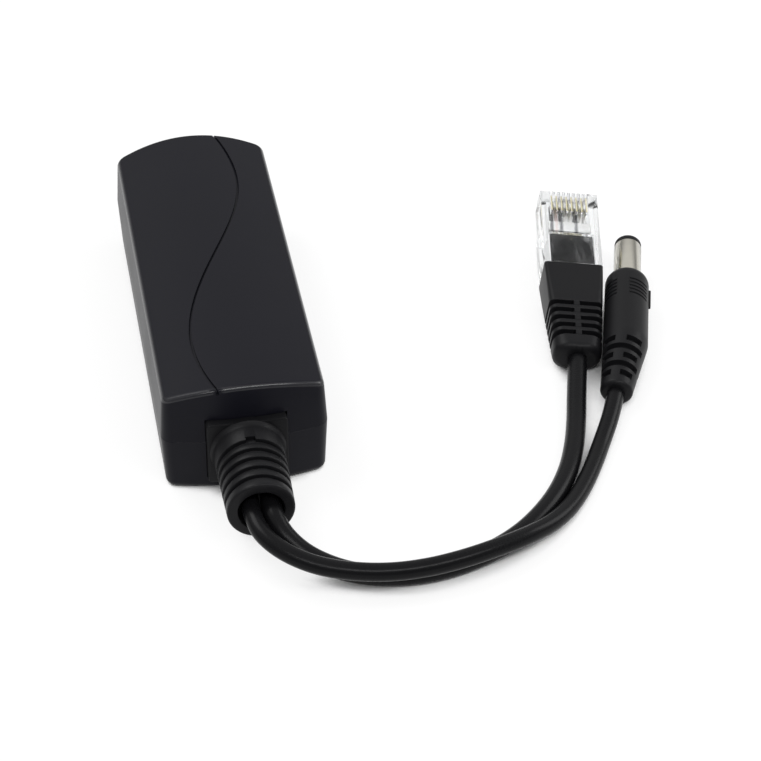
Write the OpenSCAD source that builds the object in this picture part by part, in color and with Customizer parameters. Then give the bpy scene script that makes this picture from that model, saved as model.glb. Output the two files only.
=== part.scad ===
// A PoE splitter: a slim two part housing with a network jack at its far end, and one strain
// relief at its near end that lets out two short leads, one to a network plug and one to a
// round power plug. Millimetres. The origin is under the middle of the housing, +Y runs
// towards the jack and +Z is up.

/* [Housing] */
// Width across the seam, where the housing is widest
body_w = 31; // [30:0.5:36]
// Length of the sides, from corner to corner
body_l = 81; // [79:0.5:96]
// How far each rounded end stands out past its corners
end_bulge = 2.3; // [1:0.1:4]
// Height of the two long top edges
edge_h = 20.5; // [20:0.5:26]
// How far the top is crowned above its edges
crown_h = 3; // [1.5:0.25:5]
// Height of the seam between the two shells
seam_z = 11.5; // [9.5:0.5:13]
// Slope of the walls away from the seam, as an inset at the edges
draft = 0.5; // [0.1:0.05:0.8]
// Radius of the upright corners
corner_r = 2.5; // [1.5:0.1:3.5]
// Radius along the top edges
top_r = 0.9; // [0.3:0.1:1.4]
// Radius along the bottom edges
bottom_r = 1.6; // [0.4:0.1:2]
// Wall thickness
wall = 1.8; // [1.4:0.1:2]
// Height of the tongue that locates the two shells
tongue_h = 1.2; // [0.6:0.1:2]
// Thickness of that tongue
tongue_t = 0.8; // [0.5:0.05:1]
// Gap between pieces that fit into each other
fit_gap = 0.1; // [0.05:0.05:0.2]

/* [Groove in the top] */
// Width of the groove
groove_w = 0.5; // [0.3:0.1:1]
// Depth of the groove
groove_d = 0.45; // [0.2:0.05:0.8]
// How far the groove swings to each side
groove_swing = 7.8; // [4:0.2:10]
// Length of one whole wave of the groove
groove_wave = 108; // [90:1:140]

/* [Strain relief] */
// Height of its middle above the base
relief_z = 9.8; // [9.6:0.1:10.4]
// Width of the square block that fills the end wall
block_w = 15; // [14:0.5:16]
// Height of that block
block_h = 13.4; // [12.6:0.2:13.6]
// How far the block stands out of the end wall
block_proud = 1; // [0.5:0.1:1.6]
// Diameter of the sleeve next to the block
sleeve_d1 = 13.2; // [12:0.2:13.8]
// Diameter of the sleeve at its end collar
sleeve_d2 = 12.4; // [11:0.2:13]
// Length of the sleeve from the block to the end of its collar
sleeve_l = 16.8; // [14:0.2:22]
// Downward lean of the sleeve in degrees
sleeve_droop = 1; // [0:0.5:3]
// Diameter of the hollow in the end collar
collar_bore = 8.4; // [8:0.1:9]
// Number of ring grooves round the sleeve
ring_count = 5; // [3:1:6]
// Distance from one ring groove to the next
ring_pitch = 2.4; // [1.8:0.1:2.6]
// Width of a ring groove
ring_w = 1; // [0.6:0.1:1.4]
// Depth of a ring groove
ring_d = 0.9; // [0.4:0.1:1.3]

/* [Leads] */
// Diameter of the data lead
data_d = 3.8; // [3.2:0.1:3.9]
// Diameter of the power lead
power_d = 3.4; // [2.8:0.1:3.6]

/* [Circuit board] */
// Gap between the long edges of the board and the walls
board_gap = 0.7; // [0.6:0.1:1.5]
// Length of the board
board_l = 75; // [73:0.5:75]
// Thickness of the board
board_t = 1.6; // [1:0.2:2]
// Height of the posts that carry the board above the floor of the housing
post_h = 2.2; // [1.6:0.1:2.6]
// Diameter of the posts
post_d = 4.4; // [3.6:0.2:5]

/* [Network jack] */
// Width of the jack
jack_w = 16; // [15:0.5:17]
// Height of the jack
jack_h = 13; // [12.6:0.1:13.4]
// Length of the jack
jack_l = 18; // [16.5:0.5:20]
// Width of the socket that takes a plug
socket_w = 11.9; // [11.8:0.1:12.2]
// Height of that socket, without its latch notch
socket_h = 7.2; // [7:0.1:7.4]
// Depth of the socket
socket_l = 13.5; // [12.5:0.5:14]
// Distance between neighbouring contacts, in the jack and in the plug
contact_pitch = 1.02; // [1:0.01:1.04]
// Thickness of the jack's spring contacts
spring_t = 0.4; // [0.3:0.05:0.5]

/* [Network plug] */
// Width of the clear plug
plug_w = 11.68; // [11.5:0.02:11.8]
// Length of the clear plug
plug_l = 21.4; // [20:0.2:23]
// Height of the clear plug at its cable end
plug_h = 8; // [7.6:0.1:8.4]
// Height of the clear plug at its nose
nose_h = 6.6; // [6.2:0.1:7]
// How far the free end of the latch stands off the plug
latch_drop = 3.1; // [2.6:0.1:3.2]
// Length of the boot behind the plug
boot_l = 23.2; // [22:0.2:24]
// Width of the boot where it meets the plug
boot_w = 11.9; // [11.7:0.1:12.1]
// Height of the boot where it meets the plug
boot_h = 8.2; // [8:0.1:8.6]
// Width of the boot at its cable end
boot_w2 = 9.6; // [8.6:0.1:9.8]
// Height of the boot at its cable end
boot_h2 = 7.2; // [6.4:0.1:7.3]
// Number of slots along the boot
slot_count = 5; // [3:1:5]
// Distance from one slot to the next
slot_pitch = 2; // [1.8:0.1:2.2]
// Width of a slot
slot_w = 1.1; // [0.7:0.1:1.4]
// Depth of a slot
slot_d = 1.3; // [0.6:0.1:1.6]
// Width of the spine between the slots
spine_w = 1.3; // [0.8:0.1:2.4]

/* [Power plug] */
// Outside diameter of the metal barrel
barrel_d = 5.5; // [5.3:0.1:5.7]
// Length of the barrel in front of the handle, with its black tip
barrel_l = 11.5; // [9:0.5:12]
// Wall of the barrel
barrel_wall = 0.4; // [0.3:0.05:0.6]
// Bore that takes the socket's centre pin
pin_bore = 2.1; // [2:0.1:2.5]
// Depth of that bore
pin_depth = 9.5; // [7:0.5:10]
// Diameter of the handle
handle_d = 8.8; // [8.4:0.1:9]
// Length of the straight part of the handle
handle_l = 20; // [16:0.5:20]
// Length of the tapered tail behind it
tail_l = 14; // [12:0.5:14]
// Diameter of the tail where the lead comes out
tail_d = 6.4; // [5.6:0.1:6.8]
// Number of slotted rows along the tail
tail_rows = 5; // [3:1:5]

/* [Hidden] */

// A small overlap that lets a cut pass cleanly through a face
cut = 0.5;
$fn = 48;

black_plastic = [0.13, 0.13, 0.14];
black_rubber = [0.1, 0.1, 0.11];
clear_plastic = [0.85, 0.88, 0.9];
gold = [0.83, 0.69, 0.35];
nickel = [0.75, 0.73, 0.68];
board_green = [0.08, 0.35, 0.2];
solder_grey = [0.65, 0.66, 0.68];
chip_black = [0.07, 0.07, 0.08];
copper = [0.72, 0.42, 0.2];

// Outline of the housing in plan: straight sides, rounded corners and bowed ends.
// Seen from above it runs clockwise, from the middle of the far end.
arc_steps = 7;
corner_steps = 4;
half_count = 2 * (arc_steps + corner_steps + 1) - 1;
ring_points = 2 * half_count;

function end_y(hw, hl, bulge, x) = hl + bulge * (1 - (x / hw) * (x / hw));

function quarter(hw, hl, bulge, r) =
    let (
        slope0 = 2 * bulge * (hw - r) / (hw * hw),
        x_arc = (hw - r) / (1 - 2 * r * bulge / (hw * hw * sqrt(1 + slope0 * slope0))),
        slope = 2 * bulge * x_arc / (hw * hw),
        turn = 90 - atan(slope),
        y_mid = end_y(hw, hl, bulge, x_arc) - r * sin(turn)
    )
    concat(
        [for (i = [0:arc_steps]) let (x = x_arc * i / arc_steps) [x, end_y(hw, hl, bulge, x)]],
        [
            for (i = [1:corner_steps]) let (a = turn * (1 - i / corner_steps))
                [hw - r + r * cos(a), y_mid + r * sin(a)]
        ]
    );

function outline(inset) =
    let (
        hw = body_w / 2 - inset,
        bulge = end_bulge * pow(2 * hw / body_w, 2),
        hl = body_l / 2 + end_bulge - inset - bulge,
        q = quarter(hw, hl, bulge, max(corner_r - inset, 0.5)),
        n = len(q)
    )
    concat(
        q,
        [for (i = [n - 1:-1:0]) [q[i].x, -q[i].y]],
        [for (i = [1:n - 1]) [-q[i].x, -q[i].y]],
        [for (i = [n - 1:-1:1]) [-q[i].x, q[i].y]]
    );

// Height of the crowned top at a distance x from the middle
function crown_z(x) = edge_h + crown_h * (1 - pow(2 * x / (body_w - 2 * draft), 2));

function flat_ring(inset, z) = [for (p = outline(inset)) [p.x, p.y, z]];

function crown_ring(inset, drop) = [for (p = outline(inset)) [p.x, p.y, crown_z(p.x) - drop]];

// Triangles between two neighbouring rings of a stack
function band_faces(count, from, to) = [
    for (i = [0:count - 1], half = [0, 1]) let (j = (i + 1) % count)
        half == 0 ? [from + i, from + j, to + j] : [from + i, to + j, to + i]
];

// The form of the top from the seam up, pulled in by inset and lowered by drop
module crown_form(inset, drop, radius, base_z, columns) {
    fillet_steps = 4;
    turns = [for (i = [0:fillet_steps]) 90 * i / fillet_steps];
    rings = concat(
        [flat_ring(inset, base_z)],
        [for (a = turns) crown_ring(inset + draft + radius * (1 - cos(a)), drop + radius * (1 - sin(a)))]
    );
    last = rings[len(rings) - 1];
    n = ring_points;
    top = (len(rings) - 1) * n;
    inner = len(rings) * n;
    function spot(row, k) =
        k == 0 ? top + row
        : k == columns ? top + (n - row) % n
        : inner + (row - 1) * (columns - 1) + k - 1;
    grid = [
        for (row = [1:half_count - 1], k = [1:columns - 1])
            let (x = last[row].x * (1 - 2 * k / columns)) [x, last[row].y, crown_z(x) - drop]
    ];
    walls = [for (r = [0:len(rings) - 2]) each band_faces(n, r * n, (r + 1) * n)];
    far_fan = [for (k = [0:columns - 1]) [top, spot(1, k), spot(1, k + 1)]];
    near_fan = [
        for (k = [0:columns - 1])
            [spot(half_count - 1, k), top + half_count, spot(half_count - 1, k + 1)]
    ];
    roof = [
        for (row = [1:half_count - 2], k = [0:columns - 1], half = [0, 1])
            half == 0
            ? [spot(row, k), spot(row + 1, k), spot(row + 1, k + 1)]
            : [spot(row, k), spot(row + 1, k + 1), spot(row, k + 1)]
    ];
    floor_face = [[for (i = [n - 1:-1:0]) i]];
    polyhedron([each each rings, each grid], concat(floor_face, walls, far_fan, roof, near_fan));
}

// The form of the tray from its rounded bottom edge up to the seam
module tray_form(inset, floor_z, radius, top_z) {
    fillet_steps = 4;
    turns = [for (i = [fillet_steps:-1:0]) 90 * i / fillet_steps];
    rings = concat(
        [for (a = turns) flat_ring(inset + draft + radius * (1 - cos(a)), floor_z + radius * (1 - sin(a)))],
        [flat_ring(inset, top_z)]
    );
    n = ring_points;
    walls = [for (r = [0:len(rings) - 2]) each band_faces(n, r * n, (r + 1) * n)];
    bottom_face = [[for (i = [n - 1:-1:0]) i]];
    top_face = [[for (i = [0:n - 1]) (len(rings) - 1) * n + i]];
    polyhedron([each each rings], concat(bottom_face, walls, top_face));
}

// Places that several pieces share
end_tip = body_l / 2 + end_bulge;
board_w = body_w - 2 * wall - 2 * board_gap;
board_z = wall + post_h;
board_top = board_z + board_t;
board_far = end_tip - wall - 1.5;
board_near = board_far - board_l;
jack_front = end_tip - 0.6;
jack_rear = jack_front - jack_l;
post_x = board_w / 2 - post_d / 2 - 0.2;
post_ys = [board_near + 4, jack_rear - 7];
pin_d = 1.8;

// How the posts stand: two near the strain relief and two in front of the jack
module at_posts() {
    for (x = [-post_x, post_x], y = post_ys) translate([x, y, 0]) children();
}

// The square hole for the strain relief and the window for the jack, cut in both shells
module end_openings() {
    translate([-block_w / 2 - fit_gap, -end_tip - cut, relief_z - block_h / 2 - fit_gap])
        cube([block_w + 2 * fit_gap, wall + end_bulge + 2, block_h + 2 * fit_gap]);
    translate([-jack_w / 2 - fit_gap, jack_front - wall - end_bulge, board_top - fit_gap])
        cube([jack_w + 2 * fit_gap, wall + end_bulge + 2, jack_h + 2 * fit_gap]);
}

module bottom_shell() {
    color(black_plastic) difference() {
        union() {
            difference() {
                tray_form(0, 0, bottom_r, seam_z);
                tray_form(wall, wall, 0.5, seam_z + 0.01);
            }
            translate([0, 0, seam_z - 1]) linear_extrude(1 + tongue_h) difference() {
                polygon(outline(wall - tongue_t));
                polygon(outline(wall));
            }
            at_posts() {
                translate([0, 0, wall - 0.2]) cylinder(h = post_h + 0.2, d = post_d);
                cylinder(h = board_top + 0.6, d = pin_d);
            }
        }
        end_openings();
    }
}

// The S shaped groove: a ribbon that follows a sine, cut to its depth below the crowned top
groove_steps = 28;
function groove_x(y) = groove_swing * sin(360 * y / groove_wave);
groove_path = [
    for (i = [0:groove_steps]) let (y = (end_tip + 1) * (2 * i / groove_steps - 1)) [groove_x(y), y]
];

module groove_cutter() {
    ribbon = concat(
        [for (p = groove_path) [p.x - groove_w / 2, p.y]],
        [for (i = [groove_steps:-1:0]) [groove_path[i].x + groove_w / 2, groove_path[i].y]]
    );
    lowest = crown_z(groove_swing + groove_w) - groove_d - 0.1;
    difference() {
        translate([0, 0, lowest]) linear_extrude(crown_h + 4) polygon(ribbon);
        crown_form(groove_d, groove_d, top_r, seam_z, 12);
    }
}

module top_shell() {
    color(black_plastic) difference() {
        union() {
            difference() {
                crown_form(0, 0, top_r, seam_z, 12);
                crown_form(wall, wall, 0.4, seam_z - 0.01, 8);
            }
            intersection() {
                at_posts() translate([0, 0, board_top + fit_gap]) difference() {
                    cylinder(h = edge_h, d = post_d);
                    translate([0, 0, -0.01]) cylinder(h = 1, d = pin_d + 4 * fit_gap);
                }
                crown_form(1, 1, 0.4, 1, 8);
            }
        }
        translate([0, 0, seam_z - 1]) linear_extrude(1 + tongue_h + fit_gap)
            difference() {
                polygon(outline(wall - tongue_t - fit_gap));
                polygon(outline(wall + 0.4));
            }
        end_openings();
        groove_cutter();
    }
}

// Strain relief: a flange behind the end wall, a square block through it, and a ribbed sleeve
flange_t = 1.8;
flange_lip = 1.1;
block_front = -end_tip - block_proud;
flange_front = -end_tip + wall + 1.6;
flange_back = flange_front + flange_t;
web_depth = 4;

// A point on the axis of the drooping sleeve, at a distance s from the block's front
function on_sleeve(x, s) = [
    x, block_front - s * cos(sleeve_droop), relief_z - s * sin(sleeve_droop)
];

module rounded_block(w, l, h, r) {
    translate([0, 0, -l]) linear_extrude(l) polygon([
        for (c = [[1, 1, 0], [-1, 1, 90], [-1, -1, 180], [1, -1, 270]], a = [0:22.5:90])
            [c.x * (w / 2 - r) + r * cos(c.z + a), c.y * (h / 2 - r) + r * sin(c.z + a)]
    ]);
}

module sleeve() {
    r1 = sleeve_d1 / 2;
    r2 = sleeve_d2 / 2;
    root = 0.5;
    first = sleeve_l - 2.35 - (ring_count - 1) * ring_pitch;
    function r_at(s) = r1 + (r2 - r1) * s / sleeve_l;
    rings = [
        for (i = [0:ring_count - 1], k = [0:3])
            let (
                s = first + i * ring_pitch + (k < 2 ? -ring_w / 2 : ring_w / 2),
                deep = k == 1 || k == 2 ? ring_d : 0
            )
            [r_at(s) - deep, s]
    ];
    rotate([90 + sleeve_droop, 0, 0]) rotate_extrude($fn = 64) polygon(concat(
        [[0, -root], [r1, -root], [r1, 0]],
        rings,
        [
            [r_at(sleeve_l), sleeve_l - 0.6], [r2 - 0.6, sleeve_l], [collar_bore / 2 + 0.3, sleeve_l],
            [collar_bore / 2, sleeve_l - 0.4], [collar_bore / 2, sleeve_l - web_depth],
            [0, sleeve_l - web_depth]
        ]
    ));
}

module strain_relief() {
    notch = 1.8;
    color(black_rubber) difference() {
        union() {
            translate([0, block_front, relief_z]) rotate([90, 0, 0])
                rounded_block(block_w, flange_front - block_front + 0.5, block_h, 0.8);
            translate([0, flange_front, relief_z]) rotate([90, 0, 0])
                rounded_block(block_w + 2 * flange_lip, flange_t, block_h + 2 * flange_lip, 0.8);
            translate([0, block_front, relief_z]) sleeve();
        }
        translate([0, block_front, relief_z]) rotate([90 + sleeve_droop, 0, 0])
            translate([-notch / 2, sleeve_d1 / 2 - ring_d, sleeve_l - 3.5 - (ring_count - 1) * ring_pitch])
                cube([notch, 2, 0.8]);
    }
}

// Circuit board with the holes for the posts' pins, the jack and the wires
peg_d = 3.2;
peg_x = 5.72;
peg_y = jack_front - 8.9;
tail_rows_y = [jack_rear + 0.2, jack_rear - 2.8];
wire_y = board_near + 1.6;
data_wire_x = [for (i = [0:7]) -1 + 1.4 * i];
power_wire_x = [-8, -5.2];
wire_hole_d = 1;

// Distance of contact number i, from 0 to 7, from the middle of its row of eight
function contact_x(i) = (i - 3.5) * contact_pitch;

module circuit_board() {
    color(board_green) difference() {
        translate([-board_w / 2, board_near, board_z]) cube([board_w, board_l, board_t]);
        at_posts() cylinder(h = board_top + 1, d = pin_d + 4 * fit_gap);
        for (x = [-peg_x, peg_x])
            translate([x, peg_y, 0]) cylinder(h = board_top + 1, d = peg_d + 2 * fit_gap);
        for (i = [0:7])
            translate([contact_x(i), tail_rows_y[i % 2], 0]) cylinder(h = board_top + 1, d = 0.9);
        for (x = concat(data_wire_x, power_wire_x))
            translate([x, wire_y, 0]) cylinder(h = board_top + 1, d = wire_hole_d);
        for (x = [-1, 1])
            translate([x * (board_w / 2), board_far, 0]) rotate([0, 0, 45])
                cube([3, 3, 30], center = true);
    }
}

// Network jack: a housing round the socket, an insert that carries eight spring contacts
socket_floor = board_top + 4;
socket_top = socket_floor + socket_h;
insert_w = 12.6;
insert_t = 1.5;
insert_back = 3;
insert_front = jack_front - 2.6;
latch_w1 = 6.4;
latch_w2 = 3.4;

module jack_housing() {
    color(chip_black) difference() {
        union() {
            translate([-jack_w / 2, jack_rear, board_top]) cube([jack_w, jack_l, jack_h]);
            for (x = [-peg_x, peg_x])
                translate([x, peg_y, board_z - 0.4]) cylinder(h = board_t + 0.6, d = peg_d);
        }
        translate([-socket_w / 2, jack_front - socket_l, socket_floor])
            cube([socket_w, socket_l + cut, socket_h]);
        translate([-latch_w1 / 2, jack_front - 9, socket_floor - 1.7])
            cube([latch_w1, 9 + cut, 2]);
        translate([-latch_w2 / 2, jack_front - 9, socket_floor - 3])
            cube([latch_w2, 9 + cut, 3]);
        translate([-insert_w / 2, jack_rear - cut, socket_top - 0.01])
            cube([insert_w, insert_front + fit_gap - jack_rear + cut, insert_t + fit_gap]);
        translate([-insert_w / 2, jack_rear - cut, board_top - cut])
            cube([insert_w, insert_back + fit_gap + cut, socket_top - board_top + cut + 0.1]);
    }
}

module jack_insert() {
    color([0.2, 0.2, 0.22]) difference() {
        union() {
            translate([-insert_w / 2 + fit_gap, jack_rear, socket_top])
                cube([insert_w - 2 * fit_gap, insert_front - jack_rear, insert_t]);
            translate([-insert_w / 2 + fit_gap, jack_rear, board_top + 0.05])
                cube([insert_w - 2 * fit_gap, insert_back, socket_top + 0.5 - board_top]);
        }
        for (i = [0:7]) {
            translate([contact_x(i) - spring_t / 2 - 0.05, jack_rear - cut, socket_top - 0.4])
                cube([spring_t + 0.1, jack_l + 1, 0.4 + spring_t + 0.05]);
            if (i % 2 == 0)
                translate([contact_x(i) - spring_t / 2 - 0.05, jack_rear - cut, board_z])
                    cube([spring_t + 0.1, cut + spring_t + 0.15, socket_top - board_z + 0.3]);
        }
    }
}

// One spring contact: a tail through the board, a run under the insert and a slanting spring
module spring_contact(tail_y) {
    t = spring_t;
    run_z = socket_top;
    nose_y = insert_front - 0.4;
    tip_y = jack_front - socket_l + 3;
    tip_z = socket_top - 2.7;
    rotate([90, 0, 90]) translate([0, 0, -t / 2]) linear_extrude(t) polygon([
        [tail_y - t / 2, board_z - 1], [tail_y + t / 2, board_z - 1], [tail_y + t / 2, run_z],
        [nose_y - 1, run_z], [tip_y - 0.2, tip_z + 0.5], [tip_y, tip_z],
        [nose_y, run_z - 0.2], [nose_y, run_z + t], [tail_y - t / 2, run_z + t]
    ]);
}

module jack_contacts() {
    color(gold) for (i = [0:7])
        translate([contact_x(i), 0, 0]) spring_contact(i % 2 == 0 ? jack_rear + 0.2 : tail_rows_y[1]);
}

// A moulded chip with a row of bent legs along each long side
module chip(w, l, h, legs, leg_w, span) {
    pitch = l / legs;
    translate([-w / 2, -l / 2, 0.2]) cube([w, l, h]);
    for (side = [-1, 1], i = [0:legs - 1])
        translate([0, -l / 2 + pitch * (i + 0.5) - leg_w / 2, 0]) {
            translate([side > 0 ? w / 2 - 0.1 : -span / 2, 0, 0])
                cube([(span - w) / 2 + 0.1, leg_w, 0.2]);
            translate([side > 0 ? w / 2 - 0.1 : -w / 2 - 0.2, 0, 0.1]) cube([0.3, leg_w, h / 2]);
        }
}

magnetics_y = jack_rear - 11.5;
transformer_y = -1.5;
capacitor_y = -15.5;

module lan_magnetics() {
    color(chip_black) translate([0, magnetics_y, board_top]) rotate([0, 0, 90])
        chip(7.6, 12.6, 4.8, 8, 0.5, 9.8);
}

// Power transformer: a ferrite core with two windows, a bobbin on its middle leg, and a winding
core_w = 14;
core_d = 6;
core_h = 11;
core_z = board_top + 1;
window_w = 3.2;
window_h = 7.6;
leg_core_w = 3.6;
bobbin_wall = 0.6;
bobbin_flange = 0.7;

module transformer_core() {
    color([0.22, 0.22, 0.23]) translate([0, transformer_y, core_z]) difference() {
        translate([-core_w / 2, -core_d / 2, 0]) cube([core_w, core_d, core_h]);
        for (side = [-1, 1])
            translate([side * (leg_core_w + window_w) / 2, 0, core_h / 2])
                cube([window_w, core_d + 1, window_h], center = true);
    }
}

module bobbin_frame(w, d, h) {
    translate([-w / 2, -d / 2, -h / 2]) cube([w, d, h]);
}

module transformer_bobbin() {
    inner_w = leg_core_w + 2 * fit_gap;
    inner_d = core_d + 2 * fit_gap;
    outer_w = leg_core_w + 2 * window_w - 2 * fit_gap;
    outer_d = core_d + 5;
    tall = window_h - 2 * fit_gap;
    color([0.85, 0.82, 0.7]) translate([0, transformer_y, core_z + core_h / 2]) {
        difference() {
            union() {
                bobbin_frame(inner_w + 2 * bobbin_wall, inner_d + 2 * bobbin_wall, tall);
                for (side = [-1, 1])
                    translate([0, 0, side * (tall - bobbin_flange) / 2])
                        bobbin_frame(outer_w, outer_d, bobbin_flange);
            }
            bobbin_frame(inner_w, inner_d, tall + 1);
        }
        for (x = [-1, 0, 1], side = [-1, 1])
            translate([x * 3.2, side * (outer_d / 2 - 0.6), -core_z - core_h / 2 + board_top])
                cylinder(h = core_z + core_h / 2 - board_top - tall / 2 + 0.2, d = 0.8);
    }
}

module transformer_winding() {
    inner_w = leg_core_w + 2 * (bobbin_wall + 2 * fit_gap);
    inner_d = core_d + 2 * (bobbin_wall + 2 * fit_gap);
    outer_w = leg_core_w + 2 * window_w - 4 * fit_gap;
    outer_d = core_d + 4;
    tall = window_h - 2 * bobbin_flange - 4 * fit_gap;
    color(copper) translate([0, transformer_y, core_z + core_h / 2]) difference() {
        translate([0, 0, tall / 2]) rounded_block(outer_w, tall, outer_d, 0.9);
        bobbin_frame(inner_w, inner_d, tall + 1);
    }
}

// An upright capacitor can with its crimped neck and its seal at the board
module can(d, h) {
    r = d / 2;
    rotate_extrude() polygon([
        [0, 0], [r - 0.3, 0], [r, 0.3], [r, 1.4], [r - 0.35, 1.7], [r - 0.35, 2], [r, 2.3],
        [r, h - 0.4], [r - 0.4, h], [r - 1, h], [r - 1.1, h - 0.15], [0, h - 0.15]
    ]);
}

module input_capacitor() {
    color([0.15, 0.2, 0.4]) translate([5.5 - board_w / 2, capacitor_y, board_top]) can(8, 11.5);
}

module output_capacitor() {
    color([0.15, 0.2, 0.4]) translate([board_w / 2 - 5.5, capacitor_y - 9.5, board_top]) can(8, 11.5);
}

module bridge_rectifiers() {
    color(chip_black) for (x = [3.6 - board_w / 2, board_w / 2 - 3.6])
        translate([x, magnetics_y - 8.5, board_top]) chip(4, 4.8, 2.3, 2, 0.7, 6.2);
}

// Output choke: a ferrite drum and the wire wound on it
drum_h = 6.5;
drum_d = 8;
drum_core_d = 3.6;
drum_flange = 1.2;

module at_inductor() {
    translate([board_w / 2 - 5.5, capacitor_y, board_top]) children();
}

module output_inductor() {
    color([0.2, 0.2, 0.21]) at_inductor() rotate_extrude() polygon([
        [0, 0], [drum_d / 2, 0], [drum_d / 2, drum_flange], [drum_core_d / 2, drum_flange],
        [drum_core_d / 2, drum_h - drum_flange], [drum_d / 2, drum_h - drum_flange],
        [drum_d / 2, drum_h], [0, drum_h]
    ]);
}

module inductor_winding() {
    color(copper) at_inductor() difference() {
        translate([0, 0, drum_flange + 0.05])
            cylinder(h = drum_h - 2 * drum_flange - 0.1, d = drum_d - 0.8);
        cylinder(h = drum_h, d = drum_core_d + 0.1);
    }
}

module controller_chip() {
    color(chip_black) translate([5.6 - board_w / 2, capacitor_y - 9.8, board_top]) chip(3.9, 4.9, 1.5, 4, 0.4, 6);
}

module switch_transistor() {
    color(chip_black) translate([0.2, capacitor_y + 2.2, board_top]) rotate([0, 0, 90])
        chip(3.9, 4.9, 1.5, 4, 0.4, 6);
}

module output_diode() {
    color(chip_black) translate([0.4, capacitor_y - 11, board_top]) chip(2.6, 4.3, 2.1, 1, 1.5, 4.8);
}

module optocoupler() {
    color(chip_black) translate([0, capacitor_y - 5, board_top]) chip(4.4, 3, 2, 2, 0.4, 6.6);
}

module chip_resistors() {
    edge_x = board_w / 2 - 2.2;
    spots = [
        [-edge_x, transformer_y - 4], [-edge_x, transformer_y - 1], [-edge_x, transformer_y + 2],
        [edge_x, transformer_y - 4], [edge_x, transformer_y - 1], [edge_x, transformer_y + 2],
        [-3, capacitor_y - 14], [4, magnetics_y - 7.3], [-4, magnetics_y - 7.3]
    ];
    color([0.75, 0.72, 0.66]) for (p = spots)
        translate([p.x - 0.6, p.y - 1, board_top]) cube([1.2, 2, 0.6]);
}

// Where the network plug lies: nose up on its latch, leaning a little to the right.
// The point is the middle of the boot's front face.
plug_place = [71.7, 2.2, 6.8];
plug_yaw = 10;
plug_pitch = 7.5;
plug_roll = 6.2;

// Where the power plug lies. The point is the middle of the handle's front face.
dc_place = [82.9, 0.4, 5.9];
dc_yaw = 15;
dc_pitch = 3.5;
tail_yaw = 21.5;
tail_pitch = 5;

// A plug's own direction in space, from its yaw and its pitch
function heading(yaw, pitch) = [sin(yaw) * cos(pitch), cos(yaw) * cos(pitch), sin(pitch)];

module lay_data_plug() {
    translate(plug_place) rotate([0, 0, -plug_yaw]) rotate([plug_pitch, 0, 0])
        rotate([0, plug_roll, 0]) children();
}

module lay_power_plug() {
    translate(dc_place) rotate([0, 0, -dc_yaw]) rotate([dc_pitch, 0, 0]) children();
}

dc_joint = dc_place - handle_l * heading(dc_yaw, dc_pitch);
dc_rear = dc_joint - tail_l * heading(tail_yaw, tail_pitch);

module lay_power_tail() {
    translate(dc_joint) rotate([0, 0, -tail_yaw]) rotate([tail_pitch, 0, 0]) children();
}

// Routes of the two leads, from the hollow of the strain relief to their plugs
data_x = 2.1;
power_x = -1.7;
data_exit = on_sleeve(data_x, sleeve_l - web_depth);
power_exit = on_sleeve(power_x, sleeve_l - web_depth);
data_end = plug_place - boot_l * heading(plug_yaw, plug_pitch);
data_route = concat([data_exit], [
    [2, -61, 9.1], [3.4, -64.7, 7.1], [6.8, -67.8, 4.6], [11.8, -70.3, 2.7], [17.4, -72.4, 2],
    [23.3, -73.5, 1.9], [29.3, -73.4, 1.9], [35.3, -72, 1.9], [41.2, -69.5, 1.9], [46.6, -66, 1.9],
    [51.4, -61.5, 1.9], [55.6, -56.2, 1.9], [59, -50.2, 1.9], [61.6, -43.7, 1.9], [63.6, -37.1, 2],
    [65.2, -30.7, 2.5], [66.7, -24.7, 3.2]
], [data_end]);
power_route = concat([power_exit], [
    [-1.7, -61.1, 9.6], [-0.6, -65.8, 8.8], [2.6, -69.7, 7.6], [7.6, -72.8, 6.4], [13.8, -74.9, 5.7],
    [20.5, -75.9, 5.3], [27.2, -75.8, 5.2], [33.8, -74.6, 5.1], [40.2, -72.6, 4.9], [46.4, -69.8, 4.3],
    [51.9, -66, 3.2], [56.4, -61.4, 2.3], [60.2, -56, 1.8], [63.6, -50.2, 1.7], [66.8, -44, 1.8],
    [70, -37.8, 2.6]
], [dc_rear]);

// A tube swept along a route: one ring of corners at each point, square to the way it runs
cord_sides = 8;
function unit(v) = v / norm(v);
function way(route, i) =
    i == 0 ? unit(route[1] - route[0])
    : i == len(route) - 1 ? unit(route[i] - route[i - 1])
    : unit(unit(route[i + 1] - route[i]) + unit(route[i] - route[i - 1]));
function cord_ring(point, dir, r, level) =
    let (side = unit(cross(dir, level)), up = cross(side, dir))
    [
        for (k = [0:cord_sides - 1]) let (a = 360 * (k + 0.5) / cord_sides)
            point + r * cos(a) * side + r * sin(a) * up
    ];

module cord(route, d, first_way, last_way, level = [0, 0, 1]) {
    count = len(route);
    rings = [
        for (i = [0:count - 1])
            cord_ring(
                route[i],
                i == 0 ? first_way : i == count - 1 ? last_way : way(route, i),
                d / 2,
                level
            )
    ];
    last = (count - 1) * cord_sides;
    walls = [for (i = [0:count - 2]) each band_faces(cord_sides, i * cord_sides, (i + 1) * cord_sides)];
    ends = [
        [for (k = [cord_sides - 1:-1:0]) k],
        [for (k = [0:cord_sides - 1]) last + k]
    ];
    polyhedron([each each rings], concat(walls, ends));
}

sleeve_way = [0, -cos(sleeve_droop), -sin(sleeve_droop)];

module data_cable() {
    color(black_rubber) cord(data_route, data_d, sleeve_way, heading(plug_yaw, plug_pitch));
}

module power_cable() {
    color(black_rubber) cord(power_route, power_d, sleeve_way, heading(tail_yaw, tail_pitch));
}

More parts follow.
